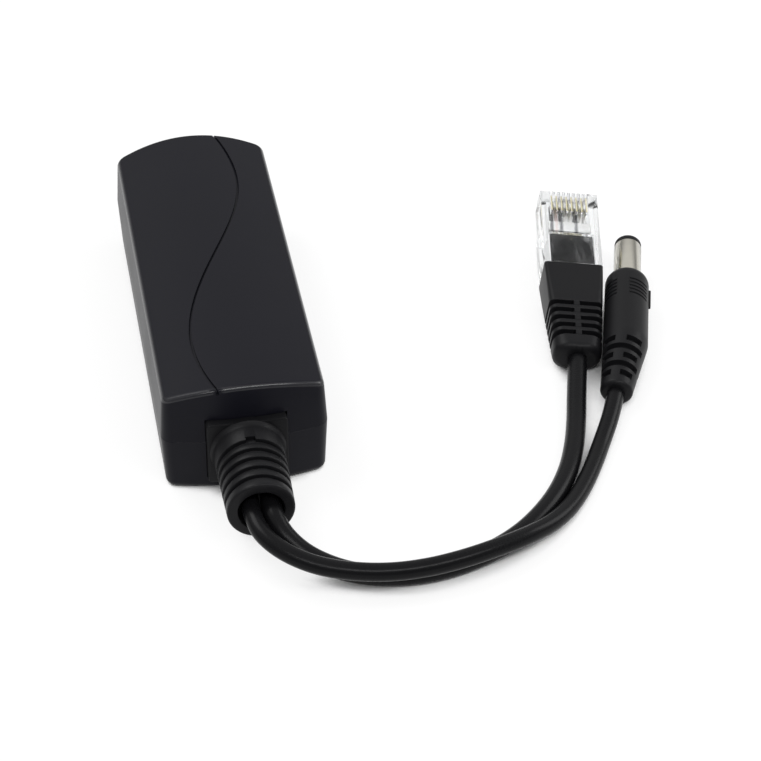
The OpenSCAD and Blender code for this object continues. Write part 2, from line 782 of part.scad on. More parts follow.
// Wires inside the housing, from the back of the strain relief down into the board
module inner_wire(x0, x1, d) {
    drop = relief_z - board_top;
    route = [
        [x0, flange_back, relief_z],
        [x0 + 0.1 * (x1 - x0), flange_back + 0.8, relief_z - 0.1],
        [x0 + 0.6 * (x1 - x0), wire_y - 0.9, relief_z - 0.25 * drop],
        [x1, wire_y - 0.1, relief_z - 0.55 * drop],
        [x1, wire_y, board_top],
        [x1, wire_y, board_z - 0.5]
    ];
    cord(route, d, [0, 1, 0], [0, 0, -1], [1, 0, 0]);
}

module data_wires() {
    color([0.8, 0.5, 0.2]) for (i = [0:7])
        inner_wire(data_wire_x[i] * 0.76 - 0.4, data_wire_x[i], 0.8);
}

module power_wires() {
    color([0.6, 0.1, 0.1]) for (x = power_wire_x) inner_wire(x * 0.7, x, 0.9);
}

// Network plug. In its own frame +Y is the nose, +Z is the side with the contacts.
plug_top = plug_h / 2;
slot_len = 6;
slot_deep = 3.2;
blade_t = 0.35;
tongue_w = 8.8;
tongue_low = -2.7;
tongue_high = 6;
tongue_len = 8.8;
wire_d = 0.95;
wire_z = 0.3;
channel_w = 8.8;
channel_h = 2.2;

module latch() {
    hinge_y = plug_l - 1.2;
    hinge_z = plug_top - nose_h;
    free_y = 4.5;
    free_z = plug_top - plug_h - latch_drop;
    intersection() {
        rotate([90, 0, 90]) translate([0, 0, -3.1]) linear_extrude(6.2) polygon([
            [hinge_y, hinge_z + 0.4], [hinge_y - 2.4, hinge_z + 0.4], [hinge_y - 3, hinge_z - 1],
            [free_y, free_z + 1], [free_y, free_z], [free_y + 1.5, free_z],
            [hinge_y - 3, hinge_z - 2.1], [hinge_y - 0.6, hinge_z - 1.1]
        ]);
        linear_extrude(40, center = true) polygon([
            [-3.1, plug_l], [-3.1, 12.4], [-1.6, 12.4], [-1.6, 0], [1.6, 0], [1.6, 12.4],
            [3.1, 12.4], [3.1, plug_l]
        ]);
    }
}

module data_plug_body() {
    color(clear_plastic) lay_data_plug() {
        difference() {
            rotate([90, 0, 90]) translate([0, 0, -plug_w / 2]) linear_extrude(plug_w) polygon([
                [0, plug_top - plug_h], [12.5, plug_top - plug_h], [13.6, plug_top - nose_h],
                [plug_l, plug_top - nose_h], [plug_l, plug_top - 0.6], [plug_l - 0.5, plug_top],
                [0, plug_top]
            ]);
            translate([-tongue_w / 2 - fit_gap, -cut, tongue_low - fit_gap])
                cube([tongue_w + 2 * fit_gap, tongue_len + cut + 0.4, tongue_high + 2 * fit_gap]);
            translate([-channel_w / 2, tongue_len - 1, wire_z - channel_h / 2])
                cube([channel_w, plug_l - tongue_len - 1, channel_h]);
            for (i = [0:7])
                translate([contact_x(i) - blade_t / 2 - 0.05, plug_l - slot_len, plug_top - slot_deep])
                    cube([blade_t + 0.1, slot_len + 1, slot_deep + 1]);
        }
        latch();
    }
}

module data_plug_contacts() {
    blade_l = 4.4;
    color(gold) lay_data_plug() for (i = [0:7])
        translate([contact_x(i) - blade_t / 2, plug_l - 1.2 - blade_l, 0])
            rotate([90, 0, 90]) linear_extrude(blade_t) polygon([
                [0, wire_z + wire_d / 2 + 0.05], [blade_l, wire_z + wire_d / 2 + 0.05],
                [blade_l, plug_top - 0.9], [blade_l - 0.4, plug_top - 0.45],
                [0.3, plug_top - 0.45], [0, plug_top - 0.8]
            ]);
}

module data_plug_load_bar() {
    color([0.9, 0.9, 0.88]) lay_data_plug() difference() {
        translate([-channel_w / 2 + 0.1, tongue_len + 2.4, wire_z - channel_h / 2 + 0.05])
            cube([channel_w - 0.2, 2.6, channel_h - 0.1]);
        for (i = [0:7])
            translate([contact_x(i), tongue_len, wire_z]) rotate([-90, 0, 0])
                cylinder(h = 8, d = wire_d + 0.04);
    }
}

module data_plug_wires() {
    color([0.5, 0.35, 0.3]) lay_data_plug() for (i = [0:7])
        translate([contact_x(i), tongue_len, wire_z]) rotate([-90, 0, 0])
            cylinder(h = plug_l - tongue_len - 2.4, d = wire_d);
}

// A slab of the boot's section at a distance back from the plug
module boot_slab(back, w, h, r) {
    translate([0, -back, 0]) rotate([-90, 0, 0]) linear_extrude(0.2) hull()
        for (x = [-1, 1], z = [-1, 1])
            translate([x * (w / 2 - r), z * (h / 2 - r)]) circle(r, $fn = 32);
}

module boot_form(inset) {
    hull() {
        boot_slab(0.2, boot_w - 2 * inset, boot_h - 2 * inset, 0.8);
        boot_slab(boot_l - 1.4, boot_w2 - 2 * inset, boot_h2 - 2 * inset, boot_h2 / 2 - inset - 0.3);
        boot_slab(boot_l, boot_w2 - 2 - 2 * inset, boot_h2 - 2 - 2 * inset, boot_h2 / 2 - 1.3 - inset);
    }
}

module data_plug_boot() {
    first = 10.7;
    color(black_rubber) lay_data_plug() {
        difference() {
            boot_form(0);
            for (i = [0:slot_count - 1]) difference() {
                translate([-boot_w, -first - i * slot_pitch - slot_w, -boot_h])
                    cube([2 * boot_w, slot_w, 2 * boot_h]);
                core_w = boot_w - (boot_w - boot_w2) * (first + i * slot_pitch) / boot_l - 2 * slot_d;
                core_h = boot_h - (boot_h - boot_h2) * (first + i * slot_pitch) / boot_l - 2 * slot_d;
                cube([core_w, 4 * boot_l, core_h], center = true);
                cube([spine_w, 4 * boot_l, 2 * boot_h], center = true);
            }
        }
        translate([-tongue_w / 2, -1, tongue_low]) cube([tongue_w, tongue_len + 1, tongue_high]);
    }
}

// Power plug. Its own axis is Z, with the barrel on the +Z side of the handle's front face.
seat_l = 3;
insulator_d = barrel_d - 2 * barrel_wall - 0.1;
contact_d = pin_bore + 0.9;
rim_l = 1.1;

module power_plug_handle() {
    r = handle_d / 2;
    nose = 3.2;
    face_r = barrel_d / 2 + 0.2;
    steps = 6;
    lug = [0.8, 0.9, 5];
    color(black_rubber) {
        lay_power_plug() rotate([-90, 0, 0]) difference() {
            union() {
                rotate_extrude($fn = 64) polygon(concat(
                    [[0, 0], [face_r, 0]],
                    [
                        for (i = [1:steps])
                            [face_r + (r - face_r) * sin(90 * i / steps), -nose * i / steps]
                    ],
                    [[r, -handle_l], [0, -handle_l]]
                ));
                translate([r - 0.4, -lug.y / 2, -nose - lug.z - 0.1]) cube(lug);
            }
            translate([0, 0, -seat_l]) cylinder(h = seat_l + 1, d = barrel_d + 0.04);
            for (i = [0:4], side = [0, 90, 180, 270]) rotate([0, 0, side + 4.5])
                rotate_extrude(angle = 56) translate([r - 0.25, -nose - 1.6 - i * 1.05])
                    square([1, 0.45]);
        }
        lay_power_tail() rotate([-90, 0, 0]) tail();
    }
}

// The tapered tail: a cone whose rows of slots leave a spine now at the top and bottom, now at
// the sides, and an end collar. The spines lean a little to the left, as the grip ribs do.
tail_turn = -101;

module tail_slot(from, to, r, z) {
    rotate([0, 0, tail_turn + from]) rotate_extrude(angle = to - from)
        translate([r - 1.1, z]) square([3, 1.3]);
}

module tail() {
    r1 = handle_d / 2 - 0.05;
    r2 = tail_d / 2;
    collar = 1.3;
    round = 0.9;
    pitch = (tail_l - collar - 1.4) / tail_rows;
    difference() {
        rotate_extrude($fn = 64) polygon([
            [0, 1], [r1, 1], [r1, 0], [r2, -tail_l + collar], [r2, -tail_l + round],
            [r2 - 0.3 * round, -tail_l + 0.4 * round], [r2 - round, -tail_l], [0, -tail_l]
        ]);
        for (i = [0:tail_rows - 1]) {
            r = r1 + (r2 - r1) * (1.5 + i * pitch) / (tail_l - collar);
            z = -2.8 - i * pitch;
            if (i % 2 == 0) for (a = [15, 118, 195, 298]) tail_slot(a, a + 47, r, z);
            else for (a = [-75, 105]) tail_slot(a, a + 150, r, z);
        }
    }
}

module power_plug_barrel() {
    color(nickel) lay_power_plug() rotate([-90, 0, 0]) difference() {
        translate([0, 0, -seat_l]) cylinder(h = seat_l + barrel_l - rim_l, d = barrel_d);
        translate([0, 0, -seat_l - 1]) cylinder(h = seat_l + barrel_l + 2, d = barrel_d - 2 * barrel_wall);
    }
}

module power_plug_insulator() {
    color(chip_black) lay_power_plug() rotate([-90, 0, 0]) difference() {
        union() {
            translate([0, 0, -seat_l]) cylinder(h = seat_l + barrel_l - rim_l, d = insulator_d);
            translate([0, 0, barrel_l - rim_l]) cylinder(h = rim_l - 0.4, d = barrel_d - 0.3);
            translate([0, 0, barrel_l - 0.4]) cylinder(h = 0.4, d1 = barrel_d - 0.3, d2 = barrel_d - 1);
        }
        translate([0, 0, -seat_l - 1]) cylinder(h = seat_l + barrel_l + 2, d = contact_d + 0.04);
    }
}

module power_plug_contact() {
    color(gold) lay_power_plug() rotate([-90, 0, 0]) difference() {
        translate([0, 0, -seat_l]) cylinder(h = seat_l + barrel_l - 0.6, d = contact_d);
        translate([0, 0, barrel_l - 0.6 - pin_depth]) cylinder(h = pin_depth + 1, d = pin_bore);
    }
}

bottom_shell();
top_shell();
strain_relief();
circuit_board();
jack_housing();
jack_insert();
jack_contacts();
lan_magnetics();
transformer_core();
transformer_bobbin();
transformer_winding();
input_capacitor();
output_capacitor();
bridge_rectifiers();
output_inductor();
inductor_winding();
controller_chip();
switch_transistor();
output_diode();
optocoupler();
chip_resistors();
data_wires();
power_wires();
data_cable();
power_cable();
data_plug_body();
data_plug_contacts();
data_plug_load_bar();
data_plug_wires();
data_plug_boot();
power_plug_handle();
power_plug_barrel();
power_plug_insulator();
power_plug_contact();
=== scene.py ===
"""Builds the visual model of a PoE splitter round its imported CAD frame."""

import math

import bmesh
import bpy
from bpy.props import FloatProperty, FloatVectorProperty, IntProperty, PointerProperty
from mathutils import Matrix, Vector


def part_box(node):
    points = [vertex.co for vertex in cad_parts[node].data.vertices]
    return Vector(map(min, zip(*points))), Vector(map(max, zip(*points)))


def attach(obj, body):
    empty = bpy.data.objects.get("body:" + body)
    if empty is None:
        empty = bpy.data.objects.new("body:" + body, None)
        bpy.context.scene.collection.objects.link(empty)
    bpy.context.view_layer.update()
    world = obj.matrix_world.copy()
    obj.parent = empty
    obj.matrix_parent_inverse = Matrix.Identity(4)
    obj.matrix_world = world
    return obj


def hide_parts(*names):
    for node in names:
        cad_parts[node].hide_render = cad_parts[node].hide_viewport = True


bl_info = {
    "name": "PoE Splitter",
    "version": (1, 0, 0),
    "blender": (4, 5, 0),
    "location": "View3D > Sidebar > Splitter",
    "description": "Dresses the CAD frame of a PoE splitter with detailed pieces and materials",
    "category": "Object",
}

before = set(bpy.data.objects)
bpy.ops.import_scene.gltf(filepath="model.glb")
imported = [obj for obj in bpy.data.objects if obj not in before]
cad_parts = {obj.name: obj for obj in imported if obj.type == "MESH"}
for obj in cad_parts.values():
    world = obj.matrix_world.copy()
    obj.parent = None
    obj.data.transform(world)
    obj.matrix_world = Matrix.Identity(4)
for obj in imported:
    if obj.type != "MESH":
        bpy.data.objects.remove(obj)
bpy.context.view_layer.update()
MM = 0.001

# Where the two plugs lie, as in the CAD source. Points are in millimetres, angles in degrees.
NETWORK_PLUG_PLACE, NETWORK_PLUG_TURNS = (71.7, 2.2, 6.8), (10.0, 7.5, 6.2)
POWER_PLUG_PLACE, POWER_PLUG_TURNS = (82.9, 0.4, 5.9), (15.0, 3.5, 0.0)
TAIL_YAW, TAIL_PITCH = 21.5, 5.0

# Routes of the leads, in millimetres, from the hollow of the strain relief to the plugs.
DATA_ROUTE = [
    (2.0, -61.0, 9.1), (3.4, -64.7, 7.1), (6.8, -67.8, 4.6), (11.8, -70.3, 2.7), (17.4, -72.4, 2.0),
    (23.3, -73.5, 1.9), (29.3, -73.4, 1.9), (35.3, -72.0, 1.9), (41.2, -69.5, 1.9), (46.6, -66.0, 1.9),
    (51.4, -61.5, 1.9), (55.6, -56.2, 1.9), (59.0, -50.2, 1.9), (61.6, -43.7, 1.9), (63.6, -37.1, 2.0),
    (65.2, -30.7, 2.5), (66.7, -24.7, 3.2),
]
POWER_ROUTE = [
    (-1.7, -61.1, 9.6), (-0.6, -65.8, 8.8), (2.6, -69.7, 7.6), (7.6, -72.8, 6.4), (13.8, -74.9, 5.7),
    (20.5, -75.9, 5.3), (27.2, -75.8, 5.2), (33.8, -74.6, 5.1), (40.2, -72.6, 4.9), (46.4, -69.8, 4.3),
    (51.9, -66.0, 3.2), (56.4, -61.4, 2.3), (60.2, -56.0, 1.8), (63.6, -50.2, 1.7), (66.8, -44.0, 1.8),
    (70.0, -37.8, 2.6),
]


def length(name, default, description):
    """A size property in metres, given in millimetres."""
    return FloatProperty(
        name=name, description=description, default=default * MM, unit="LENGTH", precision=5, min=0.0
    )


def colour(name, default, description):
    """A colour property."""
    return FloatVectorProperty(
        name=name, description=description, default=default, subtype="COLOR", size=3, min=0.0, max=1.0
    )


class HousingSettings(bpy.types.PropertyGroup):
    """Sizes and colour of the two part housing."""

    width: length("Width", 31.0, "Width across the seam")
    side_length: length("Side length", 81.0, "Length of the straight sides with their corners")
    end_bulge: length("End bulge", 2.3, "How far each end bows out")
    edge_height: length("Edge height", 20.5, "Height of the long top edges")
    crown_height: length("Crown", 3.0, "How far the top rises above its edges")
    seam_height: length("Seam height", 11.5, "Height of the seam")
    draft: length("Draft", 0.5, "How far the walls lean in from the seam")
    corner_radius: length("Corner radius", 2.5, "Radius of the upright corners")
    top_radius: length("Top radius", 0.9, "Radius along the top edges")
    bottom_radius: length("Bottom radius", 1.6, "Radius along the bottom edges")
    wall: length("Wall", 1.8, "Wall thickness")
    seam_chamfer: length("Seam chamfer", 0.05, "Small chamfer on both sides of the seam")
    groove_width: length("Groove width", 0.5, "Width of the S shaped groove")
    groove_depth: length("Groove depth", 0.45, "Depth of the S shaped groove")
    groove_swing: length("Groove swing", 7.8, "How far the groove swings to each side")
    groove_wave: length("Groove wave", 108.0, "Length of one whole wave of the groove")
    colour: colour("Colour", (0.0052, 0.0052, 0.0082), "Colour of the textured plastic")


class LeadSettings(bpy.types.PropertyGroup):
    """Sizes and colour of the two leads and of the moulded rubber."""

    data_diameter: length("Data lead", 3.8, "Diameter of the lead to the network plug")
    power_diameter: length("Power lead", 3.4, "Diameter of the lead to the power plug")
    ring_spacing: length("Ring spacing", 0.8, "Distance between two rings of the swept tube")
    sides: IntProperty(name="Sides", description="Corners of the swept tube", default=32, min=8)
    colour: colour("Colour", (0.0062, 0.0062, 0.007), "Colour of the moulded rubber")


class StrainReliefSettings(bpy.types.PropertyGroup):
    """Sizes of the strain relief."""

    height: length("Height", 9.8, "Height of its middle above the base")
    block_width: length("Block width", 15.0, "Width of the block in the end wall")
    block_height: length("Block height", 13.4, "Height of the block in the end wall")
    block_proud: length("Block proud", 1.0, "How far the block stands out of the wall")
    root_diameter: length("Root diameter", 13.2, "Diameter of the sleeve at the block")
    end_diameter: length("End diameter", 12.4, "Diameter of the end collar")
    length: length("Length", 16.8, "Length of the sleeve")
    droop: FloatProperty(name="Droop", description="Downward lean in degrees", default=1.0)
    hollow_diameter: length("Hollow", 8.4, "Diameter of the hollow in the collar")
    hollow_depth: length("Hollow depth", 4.0, "Depth of the hollow in the collar")
    ring_count: IntProperty(name="Rings", description="Number of ring grooves", default=5, min=1)
    ring_pitch: length("Ring pitch", 2.4, "Distance between ring grooves")
    ring_width: length("Ring width", 1.0, "Width of a ring groove")
    ring_depth: length("Ring depth", 0.9, "Depth of a ring groove")
    ring_end: length("Ring end", 2.35, "Distance from the last ring groove to the end")
    flange_lip: length("Flange lip", 1.1, "How far the flange stands out round the block")
    data_across: length("Data exit", 2.1, "How far right of the middle the data lead leaves")
    power_across: FloatProperty(name="Power exit", description="Where the power lead leaves", default=-1.7 * MM)


class NetworkPlugSettings(bpy.types.PropertyGroup):
    """Sizes of the network plug and its boot."""

    width: length("Width", 11.68, "Width of the clear plug")
    length: length("Length", 21.4, "Length of the clear plug")
    rear_height: length("Rear height", 8.0, "Height of the clear plug at its cable end")
    nose_height: length("Nose height", 6.6, "Height of the clear plug at its nose")
    contact_pitch: length("Contact pitch", 1.02, "Distance between contacts")
    blade: length("Blade", 0.35, "Thickness of a contact blade")
    boot_length: length("Boot length", 23.2, "Length of the boot")
    boot_width: length("Boot width", 11.9, "Width of the boot at the plug")
    boot_height: length("Boot height", 8.2, "Height of the boot at the plug")
    boot_end_width: length("Boot end width", 9.6, "Width of the boot at its cable end")
    boot_end_height: length("Boot end height", 7.2, "Height of the boot at its cable end")
    slot_count: IntProperty(name="Slots", description="Slots along the boot", default=5, min=1)
    slot_pitch: length("Slot pitch", 2.0, "Distance between slots")
    slot_first: length("First slot", 10.7, "Distance from the plug to the first slot")
    slot_width: length("Slot width", 1.1, "Width of a slot")
    slot_depth: length("Slot depth", 1.3, "Depth of a slot")
    spine_width: length("Spine width", 1.3, "Width of the spine between the slots")
    tongue_width: length("Tongue width", 8.8, "Width of the boot's tongue in the clear plug")
    tongue_height: length("Tongue height", 6.0, "Height of that tongue")
    tongue_length: length("Tongue length", 8.8, "Length of that tongue")


class PowerPlugSettings(bpy.types.PropertyGroup):
    """Sizes of the power plug."""

    barrel_diameter: length("Barrel", 5.5, "Outside diameter of the barrel")
    barrel_length: length("Barrel length", 11.5, "Length of the barrel with its black tip")
    barrel_wall: length("Barrel wall", 0.4, "Wall of the barrel")
    bore: length("Bore", 2.1, "Bore for the socket's centre pin")
    bore_depth: length("Bore depth", 9.5, "Depth of that bore")
    handle_diameter: length("Handle", 8.8, "Diameter of the handle")
    handle_length: length("Handle length", 20.0, "Length of the straight handle")
    tail_length: length("Tail length", 14.0, "Length of the tapered tail")
    tail_diameter: length("Tail end", 6.4, "Diameter of the tail's end")
    tail_rows: IntProperty(name="Tail rows", description="Rows of slots along the tail", default=5, min=1)


class StageSettings(bpy.types.PropertyGroup):
    """Camera, lamps and floor."""

    lens: FloatProperty(name="Lens", description="Focal length in millimetres", default=127.12)
    azimuth: FloatProperty(name="Azimuth", description="Camera turn in degrees", default=10.214)
    elevation: FloatProperty(name="Elevation", description="Camera height in degrees", default=38.285)
    distance: length("Distance", 524.111, "Distance from the camera to its target")
    target_x: length("Target X", 29.694, "Where the camera looks on the floor, across")
    target_back: length("Target back", 15.496, "Where the camera looks on the floor, towards itself")
    floor: colour("Floor", (0.86, 0.86, 0.86), "Colour of the floor")
    ambient: FloatProperty(name="Ambient", description="World light on the object", default=0.45)
    horizon: FloatProperty(name="Horizon", description="How far reflections darken at eye level", default=0.7)


# ---------------------------------------------------------------- shader groups


def shader_group(name, inputs, outputs):
    """An empty shader node group with named sockets, its input node and its output node."""
    tree = bpy.data.node_groups.new(name, "ShaderNodeTree")
    for label, kind, value in inputs:
        socket = tree.interface.new_socket(name=label, in_out="INPUT", socket_type=kind)
        if value is not None:
            socket.default_value = value
    for label, kind in outputs:
        tree.interface.new_socket(name=label, in_out="OUTPUT", socket_type=kind)
    return tree, tree.nodes.new("NodeGroupInput"), tree.nodes.new("NodeGroupOutput")


def add_node(tree, kind, links=(), **values):
    """A node with its properties set, its inputs set by name and its links made."""
    node = tree.nodes.new(kind)
    for key, value in values.items():
        if hasattr(node, key):
            setattr(node, key, value)
        else:
            node.inputs[key].default_value = value
    for socket, source in links:
        tree.links.new(source, node.inputs[socket])
    return node


def math_node(tree, operation, *values, clamp=False):
    """A Math node on numbers and sockets."""
    node = tree.nodes.new("ShaderNodeMath")
    node.operation = operation
    node.use_clamp = clamp
    for i, value in enumerate(values):
        if isinstance(value, bpy.types.NodeSocket):
            tree.links.new(value, node.inputs[i])
        else:
            node.inputs[i].default_value = value
    return node.outputs[0]


def noise(tree, vector, scale, detail=2.0, roughness=0.5):
    """The value of a noise texture. Scale is a number or a socket."""
    node = tree.nodes.new("ShaderNodeTexNoise")
    tree.links.new(vector, node.inputs["Vector"])
    if isinstance(scale, bpy.types.NodeSocket):
        tree.links.new(scale, node.inputs["Scale"])
    else:
        node.inputs["Scale"].default_value = scale
    node.inputs["Detail"].default_value = detail
    node.inputs["Roughness"].default_value = roughness
    return node.outputs[0]


def moulded_grain_group():
    """Fine spark eroded grain: a height for a bump, and a roughness that varies with it."""
    tree, start, end = shader_group(
        "Moulded Grain",
        [
            ("Vector", "NodeSocketVector", None),
            ("Grain Size", "NodeSocketFloat", 0.0002),
            ("Roughness", "NodeSocketFloat", 0.5),
            ("Roughness Spread", "NodeSocketFloat", 0.08),
        ],
        [("Height", "NodeSocketFloat"), ("Roughness", "NodeSocketFloat")],
    )
    scale = math_node(tree, "DIVIDE", 1.0, start.outputs["Grain Size"])
    fine = noise(tree, start.outputs["Vector"], scale, 3.0, 0.6)
    cells = add_node(tree, "ShaderNodeTexVoronoi", [("Vector", start.outputs["Vector"])])
    tree.links.new(math_node(tree, "MULTIPLY", scale, 0.8), cells.inputs["Scale"])
    height = math_node(
        tree, "ADD", math_node(tree, "MULTIPLY", fine, 0.7), math_node(tree, "MULTIPLY", cells.outputs[0], 0.4)
    )
    broad = noise(tree, start.outputs["Vector"], 90.0, 2.0)
    spread = math_node(
        tree,
        "MULTIPLY",
        math_node(tree, "ADD", math_node(tree, "SUBTRACT", broad, 0.5), math_node(tree, "SUBTRACT", fine, 0.5)),
        start.outputs["Roughness Spread"],
    )
    tree.links.new(height, end.inputs["Height"])
    tree.links.new(
        math_node(tree, "ADD", start.outputs["Roughness"], spread, clamp=True), end.inputs["Roughness"]
    )
    return tree


def handling_group():
    """Faint clouds where a surface was handled: a colour that is a little lighter there, and a mask."""
    tree, start, end = shader_group(
        "Handling Clouds",
        [
            ("Vector", "NodeSocketVector", None),
            ("Colour", "NodeSocketColor", (0.02, 0.02, 0.02, 1.0)),
            ("Lighter Colour", "NodeSocketColor", (0.03, 0.03, 0.03, 1.0)),
            ("Cloud Scale", "NodeSocketFloat", 60.0),
            ("Amount", "NodeSocketFloat", 0.4),
        ],
        [("Colour", "NodeSocketColor"), ("Mask", "NodeSocketFloat")],
    )
    clouds = noise(tree, start.outputs["Vector"], start.outputs["Cloud Scale"], 4.0, 0.55)
    mask = math_node(tree, "MULTIPLY", clouds, start.outputs["Amount"], clamp=True)
    mix = tree.nodes.new("ShaderNodeMix")
    mix.data_type = "RGBA"
    tree.links.new(mask, mix.inputs[0])
    tree.links.new(start.outputs["Colour"], mix.inputs[6])
    tree.links.new(start.outputs["Lighter Colour"], mix.inputs[7])
    tree.links.new(mix.outputs[2], end.inputs["Colour"])
    tree.links.new(mask, end.inputs["Mask"])
    return tree


def lathe_lines_group():
    """Fine turned or drawn lines across an axis: a height and a mask."""
    tree, start, end = shader_group(
        "Drawn Lines",
        [("Vector", "NodeSocketVector", None), ("Line Scale", "NodeSocketFloat", 3000.0)],
        [("Height", "NodeSocketFloat"), ("Mask", "NodeSocketFloat")],
    )
    stretch = add_node(tree, "ShaderNodeMapping", [("Vector", start.outputs["Vector"])])
    stretch.inputs["Scale"].default_value = (1.0, 0.02, 1.0)
    lines = noise(tree, stretch.outputs[0], start.outputs["Line Scale"], 2.0)
    clouds = noise(tree, start.outputs["Vector"], 400.0, 3.0)
    tree.links.new(lines, end.inputs["Height"])
    tree.links.new(clouds, end.inputs["Mask"])
    return tree


GROUPS = {}


def group(name):
    """A shader group by name, built once."""
    makers = {
        "grain": moulded_grain_group,
        "handling": handling_group,
        "lines": lathe_lines_group,
    }
    if name not in GROUPS:
        GROUPS[name] = makers[name]()
    return GROUPS[name]


def group_node(tree, name, vector, **values):
    """Places a shader group in a material with its own values."""
    node = tree.nodes.new("ShaderNodeGroup")
    node.node_tree = group(name)
    tree.links.new(vector, node.inputs["Vector"])
    for key, value in values.items():
        node.inputs[key.replace("_", " ")].default_value = value
    return node


def new_material(name):
    """A material with its tree, its Principled shader and its Object coordinates."""
    material = bpy.data.materials.new(name)
    material.use_nodes = True
    tree = material.node_tree
    shader = tree.nodes["Principled BSDF"]
    place = tree.nodes.new("ShaderNodeTexCoord").outputs["Object"]
    return material, tree, shader, place


def grained_material(name, base, lighter, roughness, grain, bump, specular=0.5, amount=0.5, spread=0.08):
    """Moulded plastic or rubber with a fine grain and faint clouds."""
    material, tree, shader, place = new_material(name)
    surface = group_node(
        tree, "grain", place, Grain_Size=grain, Roughness=roughness, Roughness_Spread=spread
    )
    clouds = group_node(
        tree, "handling", place, Colour=(*base, 1.0), Lighter_Colour=(*lighter, 1.0), Cloud_Scale=55.0, Amount=amount
    )
    relief = add_node(tree, "ShaderNodeBump", [("Height", surface.outputs["Height"])])
    relief.inputs["Strength"].default_value = 1.0
    relief.inputs["Distance"].default_value = bump
    tree.links.new(clouds.outputs["Colour"], shader.inputs["Base Color"])
    tree.links.new(surface.outputs["Roughness"], shader.inputs["Roughness"])
    tree.links.new(relief.outputs[0], shader.inputs["Normal"])
    shader.inputs["Specular IOR Level"].default_value = specular
    return material


def add_rubbed_rim(material):
    """Makes the rim smoother and shinier where the mesh's rubbed attribute says so."""
    tree = material.node_tree
    shader = tree.nodes["Principled BSDF"]
    rubbed = tree.nodes.new("ShaderNodeAttribute")
    rubbed.attribute_name = "rubbed"
    grained = shader.inputs["Roughness"].links[0].from_socket
    less = math_node(tree, "MULTIPLY", rubbed.outputs["Fac"], -0.14)
    tree.links.new(math_node(tree, "ADD", grained, less, clamp=True), shader.inputs["Roughness"])
    plain = shader.inputs["Specular IOR Level"].default_value
    more = math_node(tree, "MULTIPLY", rubbed.outputs["Fac"], 0.5)
    tree.links.new(math_node(tree, "ADD", more, plain), shader.inputs["Specular IOR Level"])
    return material


def metal_material(name, base, darker, roughness, line_scale, bump):
    """Plated or drawn metal with fine lines and a faint change of tone."""
    material, tree, shader, place = new_material(name)
    drawn = group_node(tree, "lines", place, Line_Scale=line_scale)
    clouds = group_node(
        tree, "handling", place, Colour=(*base, 1.0), Lighter_Colour=(*darker, 1.0), Cloud_Scale=700.0, Amount=0.5
    )
    surface = group_node(
        tree, "grain", place, Grain_Size=0.00012, Roughness=roughness, Roughness_Spread=0.06
    )
    relief = add_node(tree, "ShaderNodeBump", [("Height", drawn.outputs["Height"])])
    relief.inputs["Strength"].default_value = 1.0
    relief.inputs["Distance"].default_value = bump
    tree.links.new(clouds.outputs["Colour"], shader.inputs["Base Color"])
    tree.links.new(surface.outputs["Roughness"], shader.inputs["Roughness"])
    tree.links.new(relief.outputs[0], shader.inputs["Normal"])
    shader.inputs["Metallic"].default_value = 1.0
    return material


def clear_material():
    """Clear polycarbonate with faint flow marks."""
    material, tree, shader, place = new_material("Clear Polycarbonate")
    surface = group_node(tree, "grain", place, Grain_Size=0.0011, Roughness=0.1, Roughness_Spread=0.06)
    relief = add_node(tree, "ShaderNodeBump", [("Height", surface.outputs["Height"])])
    relief.inputs["Strength"].default_value = 0.15
    relief.inputs["Distance"].default_value = 0.00001
    tree.links.new(surface.outputs["Roughness"], shader.inputs["Roughness"])
    tree.links.new(relief.outputs[0], shader.inputs["Normal"])
    shader.inputs["Base Color"].default_value = (0.93, 0.94, 0.945, 1.0)
    shader.inputs["Transmission Weight"].default_value = 1.0
    shader.inputs["IOR"].default_value = 1.24
    return material


def wire_coat_material():
    """Thin insulation whose colour changes from wire to wire across a row."""
    material, tree, shader, place = new_material("Wire Insulation")
    bands = add_node(tree, "ShaderNodeTexWave", [("Vector", place)], bands_direction="X")
    bands.inputs["Scale"].default_value = 260.0
    bands.inputs["Distortion"].default_value = 0.0
    ramp = add_node(tree, "ShaderNodeValToRGB", [("Fac", bands.outputs["Fac"])])
    ramp.color_ramp.elements[0].color = (0.35, 0.1, 0.03, 1.0)
    ramp.color_ramp.elements[1].color = (0.1, 0.16, 0.3, 1.0)
    surface = group_node(tree, "grain", place, Grain_Size=0.0002, Roughness=0.45, Roughness_Spread=0.1)
    relief = add_node(tree, "ShaderNodeBump", [("Height", surface.outputs["Height"])])
    relief.inputs["Distance"].default_value = 0.00001
    tree.links.new(ramp.outputs["Color"], shader.inputs["Base Color"])
    tree.links.new(surface.outputs["Roughness"], shader.inputs["Roughness"])
    tree.links.new(relief.outputs[0], shader.inputs["Normal"])
    return material


